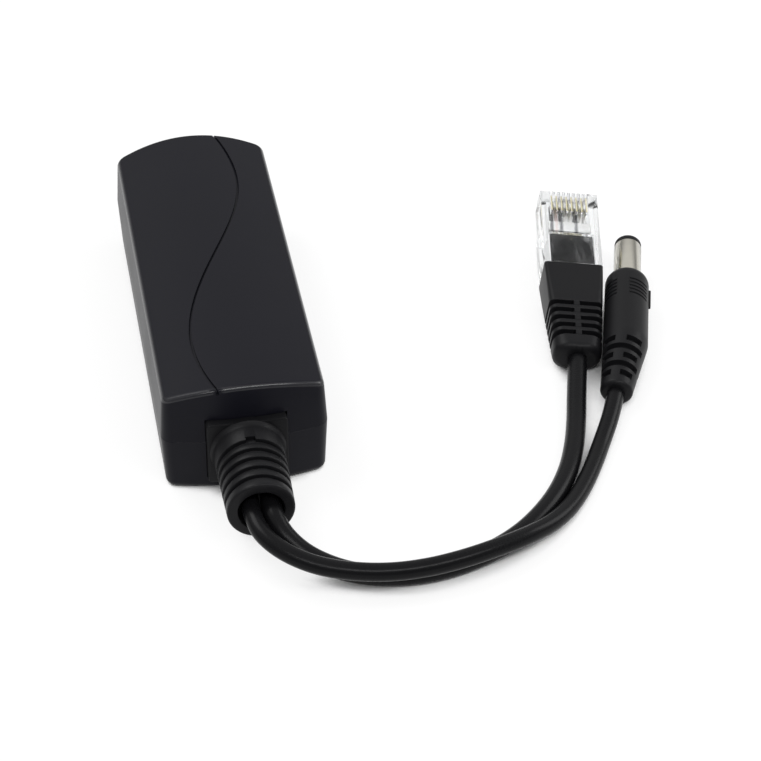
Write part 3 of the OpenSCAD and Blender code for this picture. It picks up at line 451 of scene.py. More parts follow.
def wire_row_material(name, pale, dark, pink, width, roughness):
    """Plastic in which some of a row of eight wires show darker. The UV map gives the place across the row."""
    material, tree, shader, place = new_material(name)
    across = tree.nodes.new("ShaderNodeUVMap")
    across.uv_map = "across"
    u = add_node(tree, "ShaderNodeSeparateXYZ", [("Vector", across.outputs[0])]).outputs["X"]
    tones = add_node(tree, "ShaderNodeValToRGB", [("Fac", u)])
    ramp = tones.color_ramp
    ramp.interpolation = "CONSTANT"
    ramp.elements[0].color = (*dark, 1.0)
    ramp.elements[1].position = 1 / 8
    ramp.elements[1].color = (*pink, 1.0)
    for wire, tone in ((2, dark), (3, pale), (5, dark), (6, pale)):
        ramp.elements.new(wire / 8).color = (*tone, 1.0)
    middle = math_node(tree, "ABSOLUTE", math_node(tree, "SUBTRACT", math_node(tree, "FRACT", math_node(tree, "MULTIPLY", u, 8.0)), 0.5))
    share = math_node(tree, "SUBTRACT", 1.0, math_node(tree, "DIVIDE", middle, width), clamp=True)
    mix = tree.nodes.new("ShaderNodeMix")
    mix.data_type = "RGBA"
    tree.links.new(math_node(tree, "POWER", share, 0.5), mix.inputs[0])
    mix.inputs[6].default_value = (*pale, 1.0)
    tree.links.new(tones.outputs["Color"], mix.inputs[7])
    surface = group_node(tree, "grain", place, Grain_Size=0.0003, Roughness=roughness, Roughness_Spread=0.1)
    relief = add_node(tree, "ShaderNodeBump", [("Height", surface.outputs["Height"])])
    relief.inputs["Distance"].default_value = 0.00001
    tree.links.new(mix.outputs[2], shader.inputs["Base Color"])
    tree.links.new(surface.outputs["Roughness"], shader.inputs["Roughness"])
    tree.links.new(relief.outputs[0], shader.inputs["Normal"])
    return material


MATERIALS = {}


def material(name):
    """A material by name, built once."""
    if name in MATERIALS:
        return MATERIALS[name]
    housing = bpy.context.scene.splitter_housing
    leads = bpy.context.scene.splitter_leads
    abs_colour, pvc = tuple(housing.colour), tuple(leads.colour)
    makers = {
        "black_abs": lambda: add_rubbed_rim(grained_material(
            "Black Textured ABS", abs_colour, tuple(c * 1.35 for c in abs_colour), 0.36, 0.00022, 0.000006, 0.1
        )),
        "black_pvc": lambda: grained_material(
            "Black Moulded PVC", pvc, tuple(c * 1.5 for c in pvc), 0.4, 0.0003, 0.000006, 0.12
        ),
        "lead_pvc": lambda: grained_material(
            "Black Lead Sheath", tuple(c * 0.7 for c in pvc), pvc, 0.27, 0.0004, 0.000003, 0.1
        ),
        "dark_moulding": lambda: grained_material(
            "Dark Moulding", (0.006, 0.006, 0.007), (0.01, 0.01, 0.011), 0.45, 0.00015, 0.000006, 0.15
        ),
        "pale_moulding": lambda: grained_material(
            "Pale Moulding", (0.72, 0.71, 0.67), (0.78, 0.77, 0.73), 0.4, 0.0002, 0.000004
        ),
        "board": lambda: grained_material(
            "Solder Mask", (0.02, 0.12, 0.06), (0.03, 0.17, 0.09), 0.35, 0.0004, 0.000006, 0.5, 0.9
        ),
        "ferrite": lambda: grained_material(
            "Ferrite", (0.05, 0.05, 0.055), (0.075, 0.075, 0.08), 0.55, 0.00018, 0.000012
        ),
        "can_sleeve": lambda: grained_material(
            "Capacitor Sleeve", (0.02, 0.025, 0.07), (0.03, 0.035, 0.09), 0.3, 0.0005, 0.000003
        ),
        "ceramic": lambda: grained_material(
            "Fired Ceramic", (0.38, 0.33, 0.25), (0.46, 0.41, 0.32), 0.5, 0.0001, 0.000005
        ),
        "gold": lambda: metal_material(
            "Gold Flash", (0.9, 0.84, 0.6), (0.72, 0.66, 0.44), 0.32, 5000.0, 0.000001
        ),
        "nickel": lambda: metal_material(
            "Nickel Plate", (0.52, 0.5, 0.44), (0.4, 0.385, 0.34), 0.2, 4000.0, 0.0000008
        ),
        "copper": lambda: metal_material(
            "Enamelled Copper", (0.68, 0.3, 0.12), (0.55, 0.22, 0.08), 0.3, 3000.0, 0.00001
        ),
        "clear": clear_material,
        "wire_coat": wire_coat_material,
        "wire_ends": lambda: wire_row_material(
            "Wire Ends", (0.8, 0.79, 0.78), (0.06, 0.06, 0.065), (0.62, 0.5, 0.48), 1.0, 0.4
        ),
        "milky_bar": lambda: wire_row_material(
            "Milky Load Bar", (0.8, 0.79, 0.78), (0.16, 0.16, 0.17), (0.78, 0.68, 0.66), 0.42, 0.35
        ),
    }
    MATERIALS[name] = makers[name]()
    return MATERIALS[name]


# ---------------------------------------------------------------- mesh helpers


def mesh_object(name, vertices, faces):
    """A linked object with a mesh of these vertices and faces, its normals made to point outwards."""
    mesh = bpy.data.meshes.new(name)
    mesh.from_pydata([tuple(v) for v in vertices], [], [tuple(f) for f in faces])
    shape = bmesh.new()
    shape.from_mesh(mesh)
    bmesh.ops.remove_doubles(shape, verts=shape.verts, dist=1e-7)
    bmesh.ops.recalc_face_normals(shape, faces=shape.faces)
    shape.to_mesh(mesh)
    shape.free()
    obj = bpy.data.objects.new(name, mesh)
    bpy.context.scene.collection.objects.link(obj)
    return obj


def baked(obj, name=None):
    """A plain mesh of the evaluated object. The source object is removed."""
    graph = bpy.context.evaluated_depsgraph_get()
    mesh = bpy.data.meshes.new_from_object(obj.evaluated_get(graph))
    name = name or obj.name
    bpy.data.objects.remove(obj)
    made = bpy.data.objects.new(name, mesh)
    bpy.context.scene.collection.objects.link(made)
    return made


def modified(obj, kind, **values):
    """The object with one modifier applied."""
    modifier = obj.modifiers.new(kind.title(), kind)
    for key, value in values.items():
        setattr(modifier, key, value)
    return baked(obj, obj.name)


def cut(obj, *tools, operation="DIFFERENCE"):
    """The object after exact booleans with these tools, which are removed."""
    name = obj.name
    for tool in tools:
        obj = modified(obj, "BOOLEAN", object=tool, operation=operation, solver="EXACT")
        bpy.data.objects.remove(tool)
    obj.name = name
    return obj


def box(name, low, high):
    """A box between two corners."""
    (x0, y0, z0), (x1, y1, z1) = low, high
    corners = [(x, y, z) for z in (z0, z1) for y in (y0, y1) for x in (x0, x1)]
    faces = [(0, 2, 3, 1), (4, 5, 7, 6), (0, 1, 5, 4), (2, 6, 7, 3), (0, 4, 6, 2), (1, 3, 7, 5)]
    return mesh_object(name, corners, faces)


def loft(name, rings, cap_start=True, cap_end=True):
    """A closed skin over rings of equally many points."""
    count = len(rings[0])
    vertices = [p for ring in rings for p in ring]
    faces = [
        (r * count + i, r * count + (i + 1) % count, (r + 1) * count + (i + 1) % count, (r + 1) * count + i)
        for r in range(len(rings) - 1)
        for i in range(count)
    ]
    if cap_start:
        faces.append(tuple(range(count - 1, -1, -1)))
    if cap_end:
        faces.append(tuple((len(rings) - 1) * count + i for i in range(count)))
    return mesh_object(name, vertices, faces)


def revolve(name, profile, steps=64):
    """A turned piece about Z from (radius, height) pairs. Points on the axis close to a pole."""
    rings = [
        [
            (r * math.cos(2 * math.pi * i / steps), r * math.sin(2 * math.pi * i / steps), h)
            for i in range(steps)
        ]
        for r, h in profile
    ]
    closed_start, closed_end = profile[0][0] < 1e-9, profile[-1][0] < 1e-9
    return loft(name, rings, not closed_start, not closed_end)


def rounded_section(half_w, half_h, radius, arc=6):
    """Points of a rounded rectangle, clockwise from the right of the top."""
    points = []
    for cx, cy, start in ((1, 1, 90), (1, -1, 0), (-1, -1, -90), (-1, 1, -180)):
        for i in range(arc + 1):
            a = math.radians(start - 90 * i / arc)
            points.append(
                (cx * (half_w - radius) + radius * math.cos(a), cy * (half_h - radius) + radius * math.sin(a))
            )
    return points


def turns_matrix(place, turns):
    """The matrix of a plug's frame from its place in millimetres and its yaw, pitch and roll."""
    yaw, pitch, roll = (math.radians(a) for a in turns)
    return (
        Matrix.Translation(Vector(place) * MM)
        @ Matrix.Rotation(-yaw, 4, "Z")
        @ Matrix.Rotation(pitch, 4, "X")
        @ Matrix.Rotation(roll, 4, "Y")
    )


def heading(yaw, pitch):
    """The direction of a plug's nose."""
    yaw, pitch = math.radians(yaw), math.radians(pitch)
    return Vector((math.sin(yaw) * math.cos(pitch), math.cos(yaw) * math.cos(pitch), math.sin(pitch)))


def finish_piece(obj, name, surface, replaced=(), place=None, angle=30.0, smooth=True):
    """Places the mesh, shades it, gives it its material, and puts it on the frame."""
    if place is not None:
        obj.data.transform(place)
    obj.name = name
    obj.data.name = name
    obj.data.materials.clear()
    obj.data.materials.append(material(surface))
    if smooth:
        obj.data.shade_smooth()
        obj.data.set_sharp_from_angle(angle=math.radians(angle))
    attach(obj, "root")
    if replaced:
        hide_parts(*replaced)
    return obj


def joined(name, objects):
    """One object from several."""
    shape = bmesh.new()
    for obj in objects:
        shape.from_mesh(obj.data)
        bpy.data.objects.remove(obj)
    mesh = bpy.data.meshes.new(name)
    shape.to_mesh(mesh)
    shape.free()
    made = bpy.data.objects.new(name, mesh)
    bpy.context.scene.collection.objects.link(made)
    return made


def place_across(obj, place, pitch):
    """A UV map whose U runs from 0 to 1 over a row of eight wires, in the plug's own frame."""
    turned = place.inverted()
    layer = obj.data.uv_layers.new(name="across")
    for loop in obj.data.loops:
        point = turned @ obj.data.vertices[loop.vertex_index].co
        layer.data[loop.index].uv = (point.x / pitch / 8 + 0.5, point.y / pitch / 8)


def eased_copy(node, name, width, segments=2, angle=30.0):
    """A merged copy of a CAD node with its sharp edges eased."""
    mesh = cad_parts[node].data.copy()
    shape = bmesh.new()
    shape.from_mesh(mesh)
    bmesh.ops.remove_doubles(shape, verts=shape.verts, dist=1e-6)
    bmesh.ops.dissolve_limit(shape, angle_limit=math.radians(1.0), verts=shape.verts, edges=shape.edges)
    shape.to_mesh(mesh)
    shape.free()
    obj = bpy.data.objects.new(name, mesh)
    bpy.context.scene.collection.objects.link(obj)
    return modified(
        obj,
        "BEVEL",
        width=width,
        segments=segments,
        limit_method="ANGLE",
        angle_limit=math.radians(angle),
        use_clamp_overlap=True,
    )


# ---------------------------------------------------------------- geometry node trees


def geometry_group(name, inputs):
    """An empty geometry node tree with a geometry in and out and these named inputs."""
    tree = bpy.data.node_groups.new(name, "GeometryNodeTree")
    tree.interface.new_socket(name="Geometry", in_out="INPUT", socket_type="NodeSocketGeometry")
    for label, kind, value in inputs:
        socket = tree.interface.new_socket(name=label, in_out="INPUT", socket_type=kind)
        if value is not None:
            socket.default_value = value
    tree.interface.new_socket(name="Geometry", in_out="OUTPUT", socket_type="NodeSocketGeometry")
    return tree, tree.nodes.new("NodeGroupInput"), tree.nodes.new("NodeGroupOutput")


def sheathed_lead_tree():
    """Sweeps a round sheath along a curve."""
    tree, start, end = geometry_group(
        "Sheathed Lead",
        [
            ("Diameter", "NodeSocketFloat", 0.0038),
            ("Ring Spacing", "NodeSocketFloat", 0.0008),
            ("Sides", "NodeSocketInt", 32),
            ("Material", "NodeSocketMaterial", None),
        ],
    )
    rail = add_node(tree, "GeometryNodeResampleCurve", [("Curve", start.outputs["Geometry"])])
    rail.mode = "LENGTH"
    tree.links.new(start.outputs["Ring Spacing"], rail.inputs["Length"])
    ring = add_node(tree, "GeometryNodeCurvePrimitiveCircle", [("Resolution", start.outputs["Sides"])])
    tree.links.new(math_node(tree, "MULTIPLY", start.outputs["Diameter"], 0.5), ring.inputs["Radius"])
    sweep = add_node(
        tree, "GeometryNodeCurveToMesh", [("Curve", rail.outputs["Curve"]), ("Profile Curve", ring.outputs["Curve"])]
    )
    sweep.inputs["Fill Caps"].default_value = True
    smooth = add_node(tree, "GeometryNodeSetShadeSmooth", [("Geometry", sweep.outputs["Mesh"])])
    real = add_node(tree, "GeometryNodeRealizeInstances", [("Geometry", smooth.outputs[0])])
    paint = add_node(
        tree, "GeometryNodeSetMaterial", [("Geometry", real.outputs[0]), ("Material", start.outputs["Material"])]
    )
    tree.links.new(paint.outputs[0], end.inputs["Geometry"])
    return tree


def row_tree():
    """Repeats a piece along a straight row, each one a little larger or smaller than the last."""
    tree, start, end = geometry_group(
        "Row Of Pieces",
        [
            ("Count", "NodeSocketInt", 8),
            ("Start", "NodeSocketVector", (0.0, 0.0, 0.0)),
            ("Step", "NodeSocketVector", (0.001, 0.0, 0.0)),
            ("Scale Step", "NodeSocketVector", (0.0, 0.0, 0.0)),
            ("Material", "NodeSocketMaterial", None),
        ],
    )
    line = add_node(tree, "GeometryNodeMeshLine", [("Count", start.outputs["Count"])])
    tree.links.new(start.outputs["Start"], line.inputs["Start Location"])
    tree.links.new(start.outputs["Step"], line.inputs["Offset"])
    index = tree.nodes.new("GeometryNodeInputIndex")
    grow = add_node(tree, "ShaderNodeVectorMath", [(0, start.outputs["Scale Step"])], operation="SCALE")
    tree.links.new(index.outputs[0], grow.inputs["Scale"])
    size = add_node(tree, "ShaderNodeVectorMath", [(0, grow.outputs[0])], operation="ADD")
    size.inputs[1].default_value = (1.0, 1.0, 1.0)
    place = add_node(
        tree,
        "GeometryNodeInstanceOnPoints",
        [
            ("Points", line.outputs["Mesh"]),
            ("Instance", start.outputs["Geometry"]),
            ("Scale", size.outputs[0]),
        ],
    )
    real = add_node(tree, "GeometryNodeRealizeInstances", [("Geometry", place.outputs[0])])
    paint = add_node(
        tree, "GeometryNodeSetMaterial", [("Geometry", real.outputs[0]), ("Material", start.outputs["Material"])]
    )
    tree.links.new(paint.outputs[0], end.inputs["Geometry"])
    return tree


TREES = {}


def grown(obj, tree_name, maker, **values):
    """The object after a geometry node tree with these named inputs, as a plain mesh."""
    if tree_name not in TREES:
        TREES[tree_name] = maker()
    tree = TREES[tree_name]
    modifier = obj.modifiers.new(tree_name, "NODES")
    modifier.node_group = tree
    keys = {s.name: s.identifier for s in tree.interface.items_tree if s.in_out == "INPUT"}
    for label, value in values.items():
        modifier[keys[label.replace("_", " ")]] = value
    return baked(obj, obj.name)


def row_of(obj, count, start, step, surface, scale_step=(0.0, 0.0, 0.0)):
    """A straight row of copies of the object's mesh."""
    return grown(
        obj, "Row Of Pieces", row_tree, Count=count, Start=start, Step=step, Scale_Step=scale_step, Material=material(surface)
    )


# ---------------------------------------------------------------- camera and leads


class SPLITTER_OT_camera(bpy.types.Operator):
    """Sets up the camera at the photograph's viewing angle"""

    bl_idname = "splitter.camera"
    bl_label = "Camera"

    def execute(self, context):
        stage = context.scene.splitter_stage
        turn, rise = math.radians(stage.azimuth), math.radians(stage.elevation)
        forward = Vector((math.sin(turn) * math.cos(rise), math.cos(turn) * math.cos(rise), -math.sin(rise)))
        data = bpy.data.cameras.new("Camera")
        data.lens = stage.lens
        data.sensor_width = 36.0
        data.clip_start, data.clip_end = 0.01, 10.0
        camera = bpy.data.objects.new("Camera", data)
        camera.location = Vector((stage.target_x, -stage.target_back, 0.0)) - forward * stage.distance
        camera.rotation_euler = forward.to_track_quat("-Z", "Y").to_euler()
        context.scene.collection.objects.link(camera)
        context.scene.camera = camera
        return {"FINISHED"}


def sleeve_point(across, along, relief, housing):
    """A point on the drooping sleeve's axis, in metres from the front of its block."""
    droop = math.radians(relief.droop)
    front = -(housing.side_length / 2 + housing.end_bulge + relief.block_proud)
    return Vector((across, front - along * math.cos(droop), relief.height - along * math.sin(droop)))


def smooth_route(points, steps=8):
    """A smooth line through the points, with its ends running on straight."""
    points = [2 * points[0] - points[1], *points, 2 * points[-1] - points[-2]]
    line = []
    for a, b, c, d in zip(points, points[1:], points[2:], points[3:]):
        for i in range(steps):
            t = i / steps
            line.append(
                0.5 * ((2 * b) + (c - a) * t + (2 * a - 5 * b + 4 * c - d) * t**2 + (3 * b - a - 3 * c + d) * t**3)
            )
    return [*line, points[-2]]


def sheathed_lead(name, route, diameter, leads):
    """A lead swept along a route, as a mesh, and the line it follows."""
    line = smooth_route(route)
    data = bpy.data.curves.new(name, "CURVE")
    data.dimensions = "3D"
    spline = data.splines.new("POLY")
    spline.points.add(len(line) - 1)
    for point, place in zip(spline.points, line):
        point.co = (*place, 1.0)
    obj = bpy.data.objects.new(name, data)
    bpy.context.scene.collection.objects.link(obj)
    swept = grown(
        obj,
        "Sheathed Lead",
        sheathed_lead_tree,
        Diameter=diameter,
        Ring_Spacing=leads.ring_spacing,
        Sides=leads.sides,
        Material=material("lead_pvc"),
    )
    return swept, line


class SPLITTER_OT_leads(bpy.types.Operator):
    """Sweeps the data lead and the power lead along their routes"""

    bl_idname = "splitter.leads"
    bl_label = "Leads"

    def execute(self, context):
        scene = context.scene
        leads, relief, housing = scene.splitter_leads, scene.splitter_relief, scene.splitter_housing
        plug, power = scene.splitter_network_plug, scene.splitter_power_plug
        web = relief.length - relief.hollow_depth
        data_end = Vector(NETWORK_PLUG_PLACE) * MM - plug.boot_length * heading(*NETWORK_PLUG_TURNS[:2])
        joint = Vector(POWER_PLUG_PLACE) * MM - power.handle_length * heading(*POWER_PLUG_TURNS[:2])
        power_end = joint - power.tail_length * heading(TAIL_YAW, TAIL_PITCH)
        for name, across, route, end, diameter, far_end, pieces in (
            (
                "data_lead", relief.data_across, DATA_ROUTE, data_end, leads.data_diameter, "connector",
                ["data_plug_body", "data_plug_contacts", "data_plug_load_bar", "data_plug_wires", "data_plug_boot"],
            ),
            (
                "power_lead", relief.power_across, POWER_ROUTE, power_end, leads.power_diameter, "plug",
                ["power_plug_handle", "power_plug_barrel", "power_plug_insulator", "power_plug_contact"],
            ),
        ):
            exit_point = sleeve_point(across, web, relief, housing)
            points = [exit_point, *(Vector(p) * MM for p in route), end]
            obj, line = sheathed_lead(name, points, diameter, leads)
            finish_piece(obj, name, "lead_pvc", [name.replace("lead", "cable")])
        return {"FINISHED"}


# ---------------------------------------------------------------- housing


def plan_outline(housing, inset, arc_steps=18, corner_steps=8, side_steps=36):
    """Plan of the housing, clockwise from the middle of the far end, pulled in by inset."""
    half = housing.width / 2 - inset
    bulge = housing.end_bulge * (2 * half / housing.width) ** 2
    side = housing.side_length / 2 + housing.end_bulge - inset - bulge
    radius = max(housing.corner_radius - inset, 0.5 * MM)

    def end_y(x):
        return side + bulge * (1 - (x / half) ** 2)

    slope = 2 * bulge * (half - radius) / half**2
    x_arc = (half - radius) / (1 - 2 * radius * bulge / (half**2 * math.sqrt(1 + slope**2)))
    turn = math.pi / 2 - math.atan(2 * bulge * x_arc / half**2)
    y_mid = end_y(x_arc) - radius * math.sin(turn)
    quarter = [(x_arc * i / arc_steps, end_y(x_arc * i / arc_steps)) for i in range(arc_steps + 1)]
    for i in range(1, corner_steps + 1):
        a = turn * (1 - i / corner_steps)
        quarter.append((half - radius + radius * math.cos(a), y_mid + radius * math.sin(a)))
    y_side = quarter[-1][1]
    right = quarter + [(half, y_side * (1 - 2 * i / side_steps)) for i in range(1, side_steps)]
    right += [(x, -y) for x, y in reversed(quarter)]
    return right + [(-x, y) for x, y in reversed(right[1:-1])]


def crown_height(housing, x):
    """Height of the crowned top at a distance x from the middle."""
    half = housing.width / 2 - housing.draft
    return housing.edge_height + housing.crown_height * (1 - (x / half) ** 2)


def crown_form(name, housing, inset, drop, radius, base, chamfer=0.0, columns=40, fillet_steps=8):
    """The closed form of the top from the seam up, pulled in by inset and lowered by drop."""
    rings = [[(x, y, base) for x, y in plan_outline(housing, inset + chamfer)]]
    if chamfer:
        rings.append([(x, y, base + chamfer) for x, y in plan_outline(housing, inset)])
    for i in range(fillet_steps + 1):
        a = math.pi / 2 * i / fillet_steps
        rings.append(
            [
                (x, y, crown_height(housing, x) - drop - radius * (1 - math.sin(a)))
                for x, y in plan_outline(housing, inset + housing.draft + radius * (1 - math.cos(a)))
            ]
        )
    top = rings[-1]
    count, half_count = len(top), len(top) // 2
    vertices = [p for ring in rings for p in ring]
    faces = [
        (r * count + i, r * count + (i + 1) % count, (r + 1) * count + (i + 1) % count, (r + 1) * count + i)
        for r in range(len(rings) - 1)
        for i in range(count)
    ]
    faces.append(tuple(range(count - 1, -1, -1)))
    first_inner = len(vertices)
    for row in range(1, half_count):
        x, y = top[row][0], top[row][1]
        for k in range(1, columns):
            across = x * (1 - 2 * k / columns)
            vertices.append((across, y, crown_height(housing, across) - drop))
    ring_start = (len(rings) - 1) * count

    def spot(row, k):
        if row in (0, half_count):
            return ring_start + row
        if k == 0:
            return ring_start + row
        if k == columns:
            return ring_start + (count - row) % count
        return first_inner + (row - 1) * (columns - 1) + k - 1

    for row in range(half_count):
        for k in range(columns):
            corners = [spot(row, k), spot(row + 1, k), spot(row + 1, k + 1), spot(row, k + 1)]
            face = [c for i, c in enumerate(corners) if c not in corners[:i]]
            if len(face) > 2:
                faces.append(tuple(face))
    return mesh_object(name, vertices, faces)


def tray_form(name, housing, inset, floor, radius, top, chamfer=0.0, fillet_steps=8):
    """The closed form of the tray from its rounded bottom edge up to the seam."""
    rings = []
    for i in range(fillet_steps, -1, -1):
        a = math.pi / 2 * i / fillet_steps
        z = floor + radius * (1 - math.sin(a))
        plan = plan_outline(housing, inset + housing.draft + radius * (1 - math.cos(a)))
        rings.append([(x, y, z) for x, y in plan])
    if chamfer:
        rings.append([(x, y, top - chamfer) for x, y in plan_outline(housing, inset)])
    rings.append([(x, y, top) for x, y in plan_outline(housing, inset + chamfer)])
    return loft(name, rings)


def end_tools(housing, relief):
    """Boxes that open both shells for the strain relief and for the jack."""
    tip = housing.side_length / 2 + housing.end_bulge
    gap = 0.1 * MM
    low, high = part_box("jack_housing")
    board_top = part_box("circuit_board")[1].z
    reach = housing.wall + housing.end_bulge + 2 * MM
    return (
        box(
            "relief_opening",
            (-relief.block_width / 2 - gap, -tip - MM, relief.height - relief.block_height / 2 - gap),
            (relief.block_width / 2 + gap, -tip + reach, relief.height + relief.block_height / 2 + gap),
        ),
        box("jack_opening", (low.x - gap, high.y - reach, board_top - gap), (high.x + gap, tip + MM, high.z + gap)),
    )


def groove_tool(housing, steps=150):
    """The S shaped ribbon, cut to the groove's depth below the crowned top."""
    tip = housing.side_length / 2 + housing.end_bulge + MM
    left, right = [], []
    for i in range(steps + 1):
        y = tip * (2 * i / steps - 1)
        x = housing.groove_swing * math.sin(2 * math.pi * y / housing.groove_wave)
        left.append((x - housing.groove_width / 2, y))
        right.append((x + housing.groove_width / 2, y))
    plan = right + left[::-1]
    low = crown_height(housing, housing.groove_swing + housing.groove_width) - housing.groove_depth - 0.1 * MM
    high = housing.edge_height + housing.crown_height + MM
    ribbon = loft("groove_ribbon", [[(x, y, low) for x, y in plan], [(x, y, high) for x, y in plan]])
    depth = housing.groove_depth
    core = crown_form("groove_core", housing, depth, depth, housing.top_radius, housing.seam_height)
    return cut(ribbon, core)


def rub_rim(obj, housing):
    """An attribute that is 1 along the rounded top rim, where hands have made it shiny."""
    layer = obj.data.attributes.new("rubbed", "FLOAT", "POINT")
    for vertex, value in zip(obj.data.vertices, layer.data):
        x, y, z = vertex.co
        along = (crown_height(housing, x) - z) / housing.top_radius
        groove = housing.groove_swing * math.sin(2 * math.pi * y / housing.groove_wave)
        if 0.02 < along < 0.98 and abs(x - groove) > 0.8 * MM:
            value.value = 4 * along * (1 - along)


class SPLITTER_OT_housing(bpy.types.Operator):
    """Builds the two shells of the housing with their crowned top, groove and seam"""

    bl_idname = "splitter.housing"
    bl_label = "Housing"

    def execute(self, context):
        housing, relief = context.scene.splitter_housing, context.scene.splitter_relief
        seam, wall, chamfer = housing.seam_height, housing.wall, housing.seam_chamfer
        top = crown_form("top_shell", housing, 0.0, 0.0, housing.top_radius, seam, chamfer)
        cavity = crown_form("top_cavity", housing, wall, wall, 0.4 * MM, seam - 0.01 * MM, columns=16, fillet_steps=3)
        top = cut(top, cavity, *end_tools(housing, relief), groove_tool(housing))
        rub_rim(top, housing)
        finish_piece(top, "housing_top", "black_abs", ["top_shell"])
        tray = tray_form("bottom_shell", housing, 0.0, 0.0, housing.bottom_radius, seam, chamfer)
        cavity = tray_form("tray_cavity", housing, wall, wall, 0.5 * MM, seam + 0.01 * MM, fillet_steps=3)
        tray = cut(tray, cavity, *end_tools(housing, relief))
        finish_piece(tray, "housing_tray", "black_abs", ["bottom_shell"])
        return {"FINISHED"}


# ---------------------------------------------------------------- strain relief


class SPLITTER_OT_strain_relief(bpy.types.Operator):
    """Builds the strain relief with its block, ring grooves and hollow collar"""

    bl_idname = "splitter.strain_relief"
    bl_label = "Strain Relief"

    def execute(self, context):
        relief, housing = context.scene.splitter_relief, context.scene.splitter_housing
        r1, r2, end = relief.root_diameter / 2, relief.end_diameter / 2, relief.length
        first = end - relief.ring_end - (relief.ring_count - 1) * relief.ring_pitch
        ease = 0.12 * MM

        def radius(s):
            return r1 + (r2 - r1) * s / end

        profile = [(0.0, -3 * MM), (r1, -3 * MM), (r1 + 0.5 * MM, 0.0), (r1 + 0.15 * MM, 0.5 * MM), (r1, 1.1 * MM)]
        for i in range(relief.ring_count):
            middle = first + i * relief.ring_pitch
            for offset, depth in (
                (-relief.ring_width / 2 - ease, 0.0), (-relief.ring_width / 2 - ease / 3, ease / 3),
                (-relief.ring_width / 2, ease), (-relief.ring_width / 2 + ease / 2, relief.ring_depth - ease),
                (-relief.ring_width / 2 + 2 * ease, relief.ring_depth),
                (relief.ring_width / 2 - 2 * ease, relief.ring_depth),
                (relief.ring_width / 2 - ease / 2, relief.ring_depth - ease), (relief.ring_width / 2, ease),
                (relief.ring_width / 2 + ease / 3, ease / 3), (relief.ring_width / 2 + ease, 0.0),
            ):
                s = middle + offset
                profile.append((radius(s) - depth, s))
        hollow = relief.hollow_diameter / 2
        rim = 0.5 * MM
        for i in range(6):
            a = math.radians(90 * i / 5)
            profile.append((r2 - rim * (1 - math.cos(a)), end - rim * (1 - math.sin(a))))
        for i in range(5):
            a = math.radians(90 * i / 4)
            profile.append((hollow + 0.3 * MM * (1 - math.sin(a)), end - 0.3 * MM * (1 - math.cos(a))))
        profile += [(hollow, end - relief.hollow_depth + 0.4 * MM), (hollow - 0.4 * MM, end - relief.hollow_depth)]
        profile.append((0.0, end - relief.hollow_depth))
        sleeve = revolve("strain_relief", profile, 96)
        notch_s = first - relief.ring_width / 2 - 0.65 * MM
        notch = box(
            "notch", (-0.9 * MM, r1 - relief.ring_depth, notch_s), (0.9 * MM, r1 + 2 * MM, notch_s + 0.8 * MM)
        )
        sleeve = cut(sleeve, notch)
        lean = Matrix.Rotation(math.radians(90 + relief.droop), 4, "X")
        tip = housing.side_length / 2 + housing.end_bulge
        front = Vector((0.0, -tip - relief.block_proud, relief.height))
        sleeve.data.transform(Matrix.Translation(front) @ lean)
        low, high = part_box("strain_relief")
        back = high.y
        seat = back - 1.8 * MM

        def slab(name, half_w, half_h, near, far, corner, edge):
            rings = []
            for inset, y in ((edge, near), (edge * 0.3, near + edge * 0.3), (0.0, near + edge), (0.0, far)):
                section = rounded_section(half_w - inset, half_h - inset, max(corner - inset, 0.1 * MM))
                rings.append([(x, y, relief.height + z) for x, z in section])
            return loft(name, rings)

        half_w, half_h = relief.block_width / 2, relief.block_height / 2
        block = slab("relief_block", half_w, half_h, front.y, seat + 0.3 * MM, 0.8 * MM, 0.25 * MM)
        lip = relief.flange_lip
        flange = slab("relief_flange", half_w + lip, half_h + lip, seat, back, 0.8 * MM, 0.2 * MM)
        piece = cut(block, flange, sleeve, operation="UNION")
        finish_piece(piece, "strain_relief_moulding", "black_pvc", ["strain_relief"], angle=40)
        return {"FINISHED"}


# ---------------------------------------------------------------- network plug


def mark(obj, *nodes):
    """Notes which CAD node a piece dresses."""
    obj["splitter_piece"] = nodes[0]
    return obj


def boot_sections(plug):
    """Stations of the boot from the plug back: (distance, half width, half height, corner, slot depth)."""
    length_, depth = plug.boot_length, plug.slot_depth
    half_w, half_h = plug.boot_width / 2, plug.boot_height / 2
    end_w, end_h = plug.boot_end_width / 2, plug.boot_end_height / 2
    rim = length_ - 1.4 * MM

    def station(s, carved=0.0, inset=0.0):
        t = min(s / rim, 1.0)
        corner = 0.7 * MM + (end_h - 0.6 * MM - 0.7 * MM) * t**1.6
        return s, half_w + (end_w - half_w) * t - inset, half_h + (end_h - half_h) * t - inset, corner, carved

    stations = [station(0.0, inset=0.15 * MM), station(0.15 * MM), station(5 * MM)]
    for i in range(plug.slot_count):
        near = plug.slot_first + i * plug.slot_pitch
        far = near + plug.slot_width
        stations += [
            station(near - 0.1 * MM),
            station(near - 0.02 * MM, inset=0.06 * MM),
            station(near + 0.03 * MM, depth * 0.9),
            station(near + 0.12 * MM, depth),
            station(far - 0.12 * MM, depth),
            station(far - 0.03 * MM, depth * 0.9),
            station(far + 0.02 * MM, inset=0.06 * MM),
            station(far + 0.1 * MM),
        ]
    stations.append(station(rim))
    for i in range(1, 7):
        a = math.radians(15 * i)
        stations.append(station(rim + 1.4 * MM * math.sin(a), inset=1.3 * MM * (1 - math.cos(a))))
    return stations


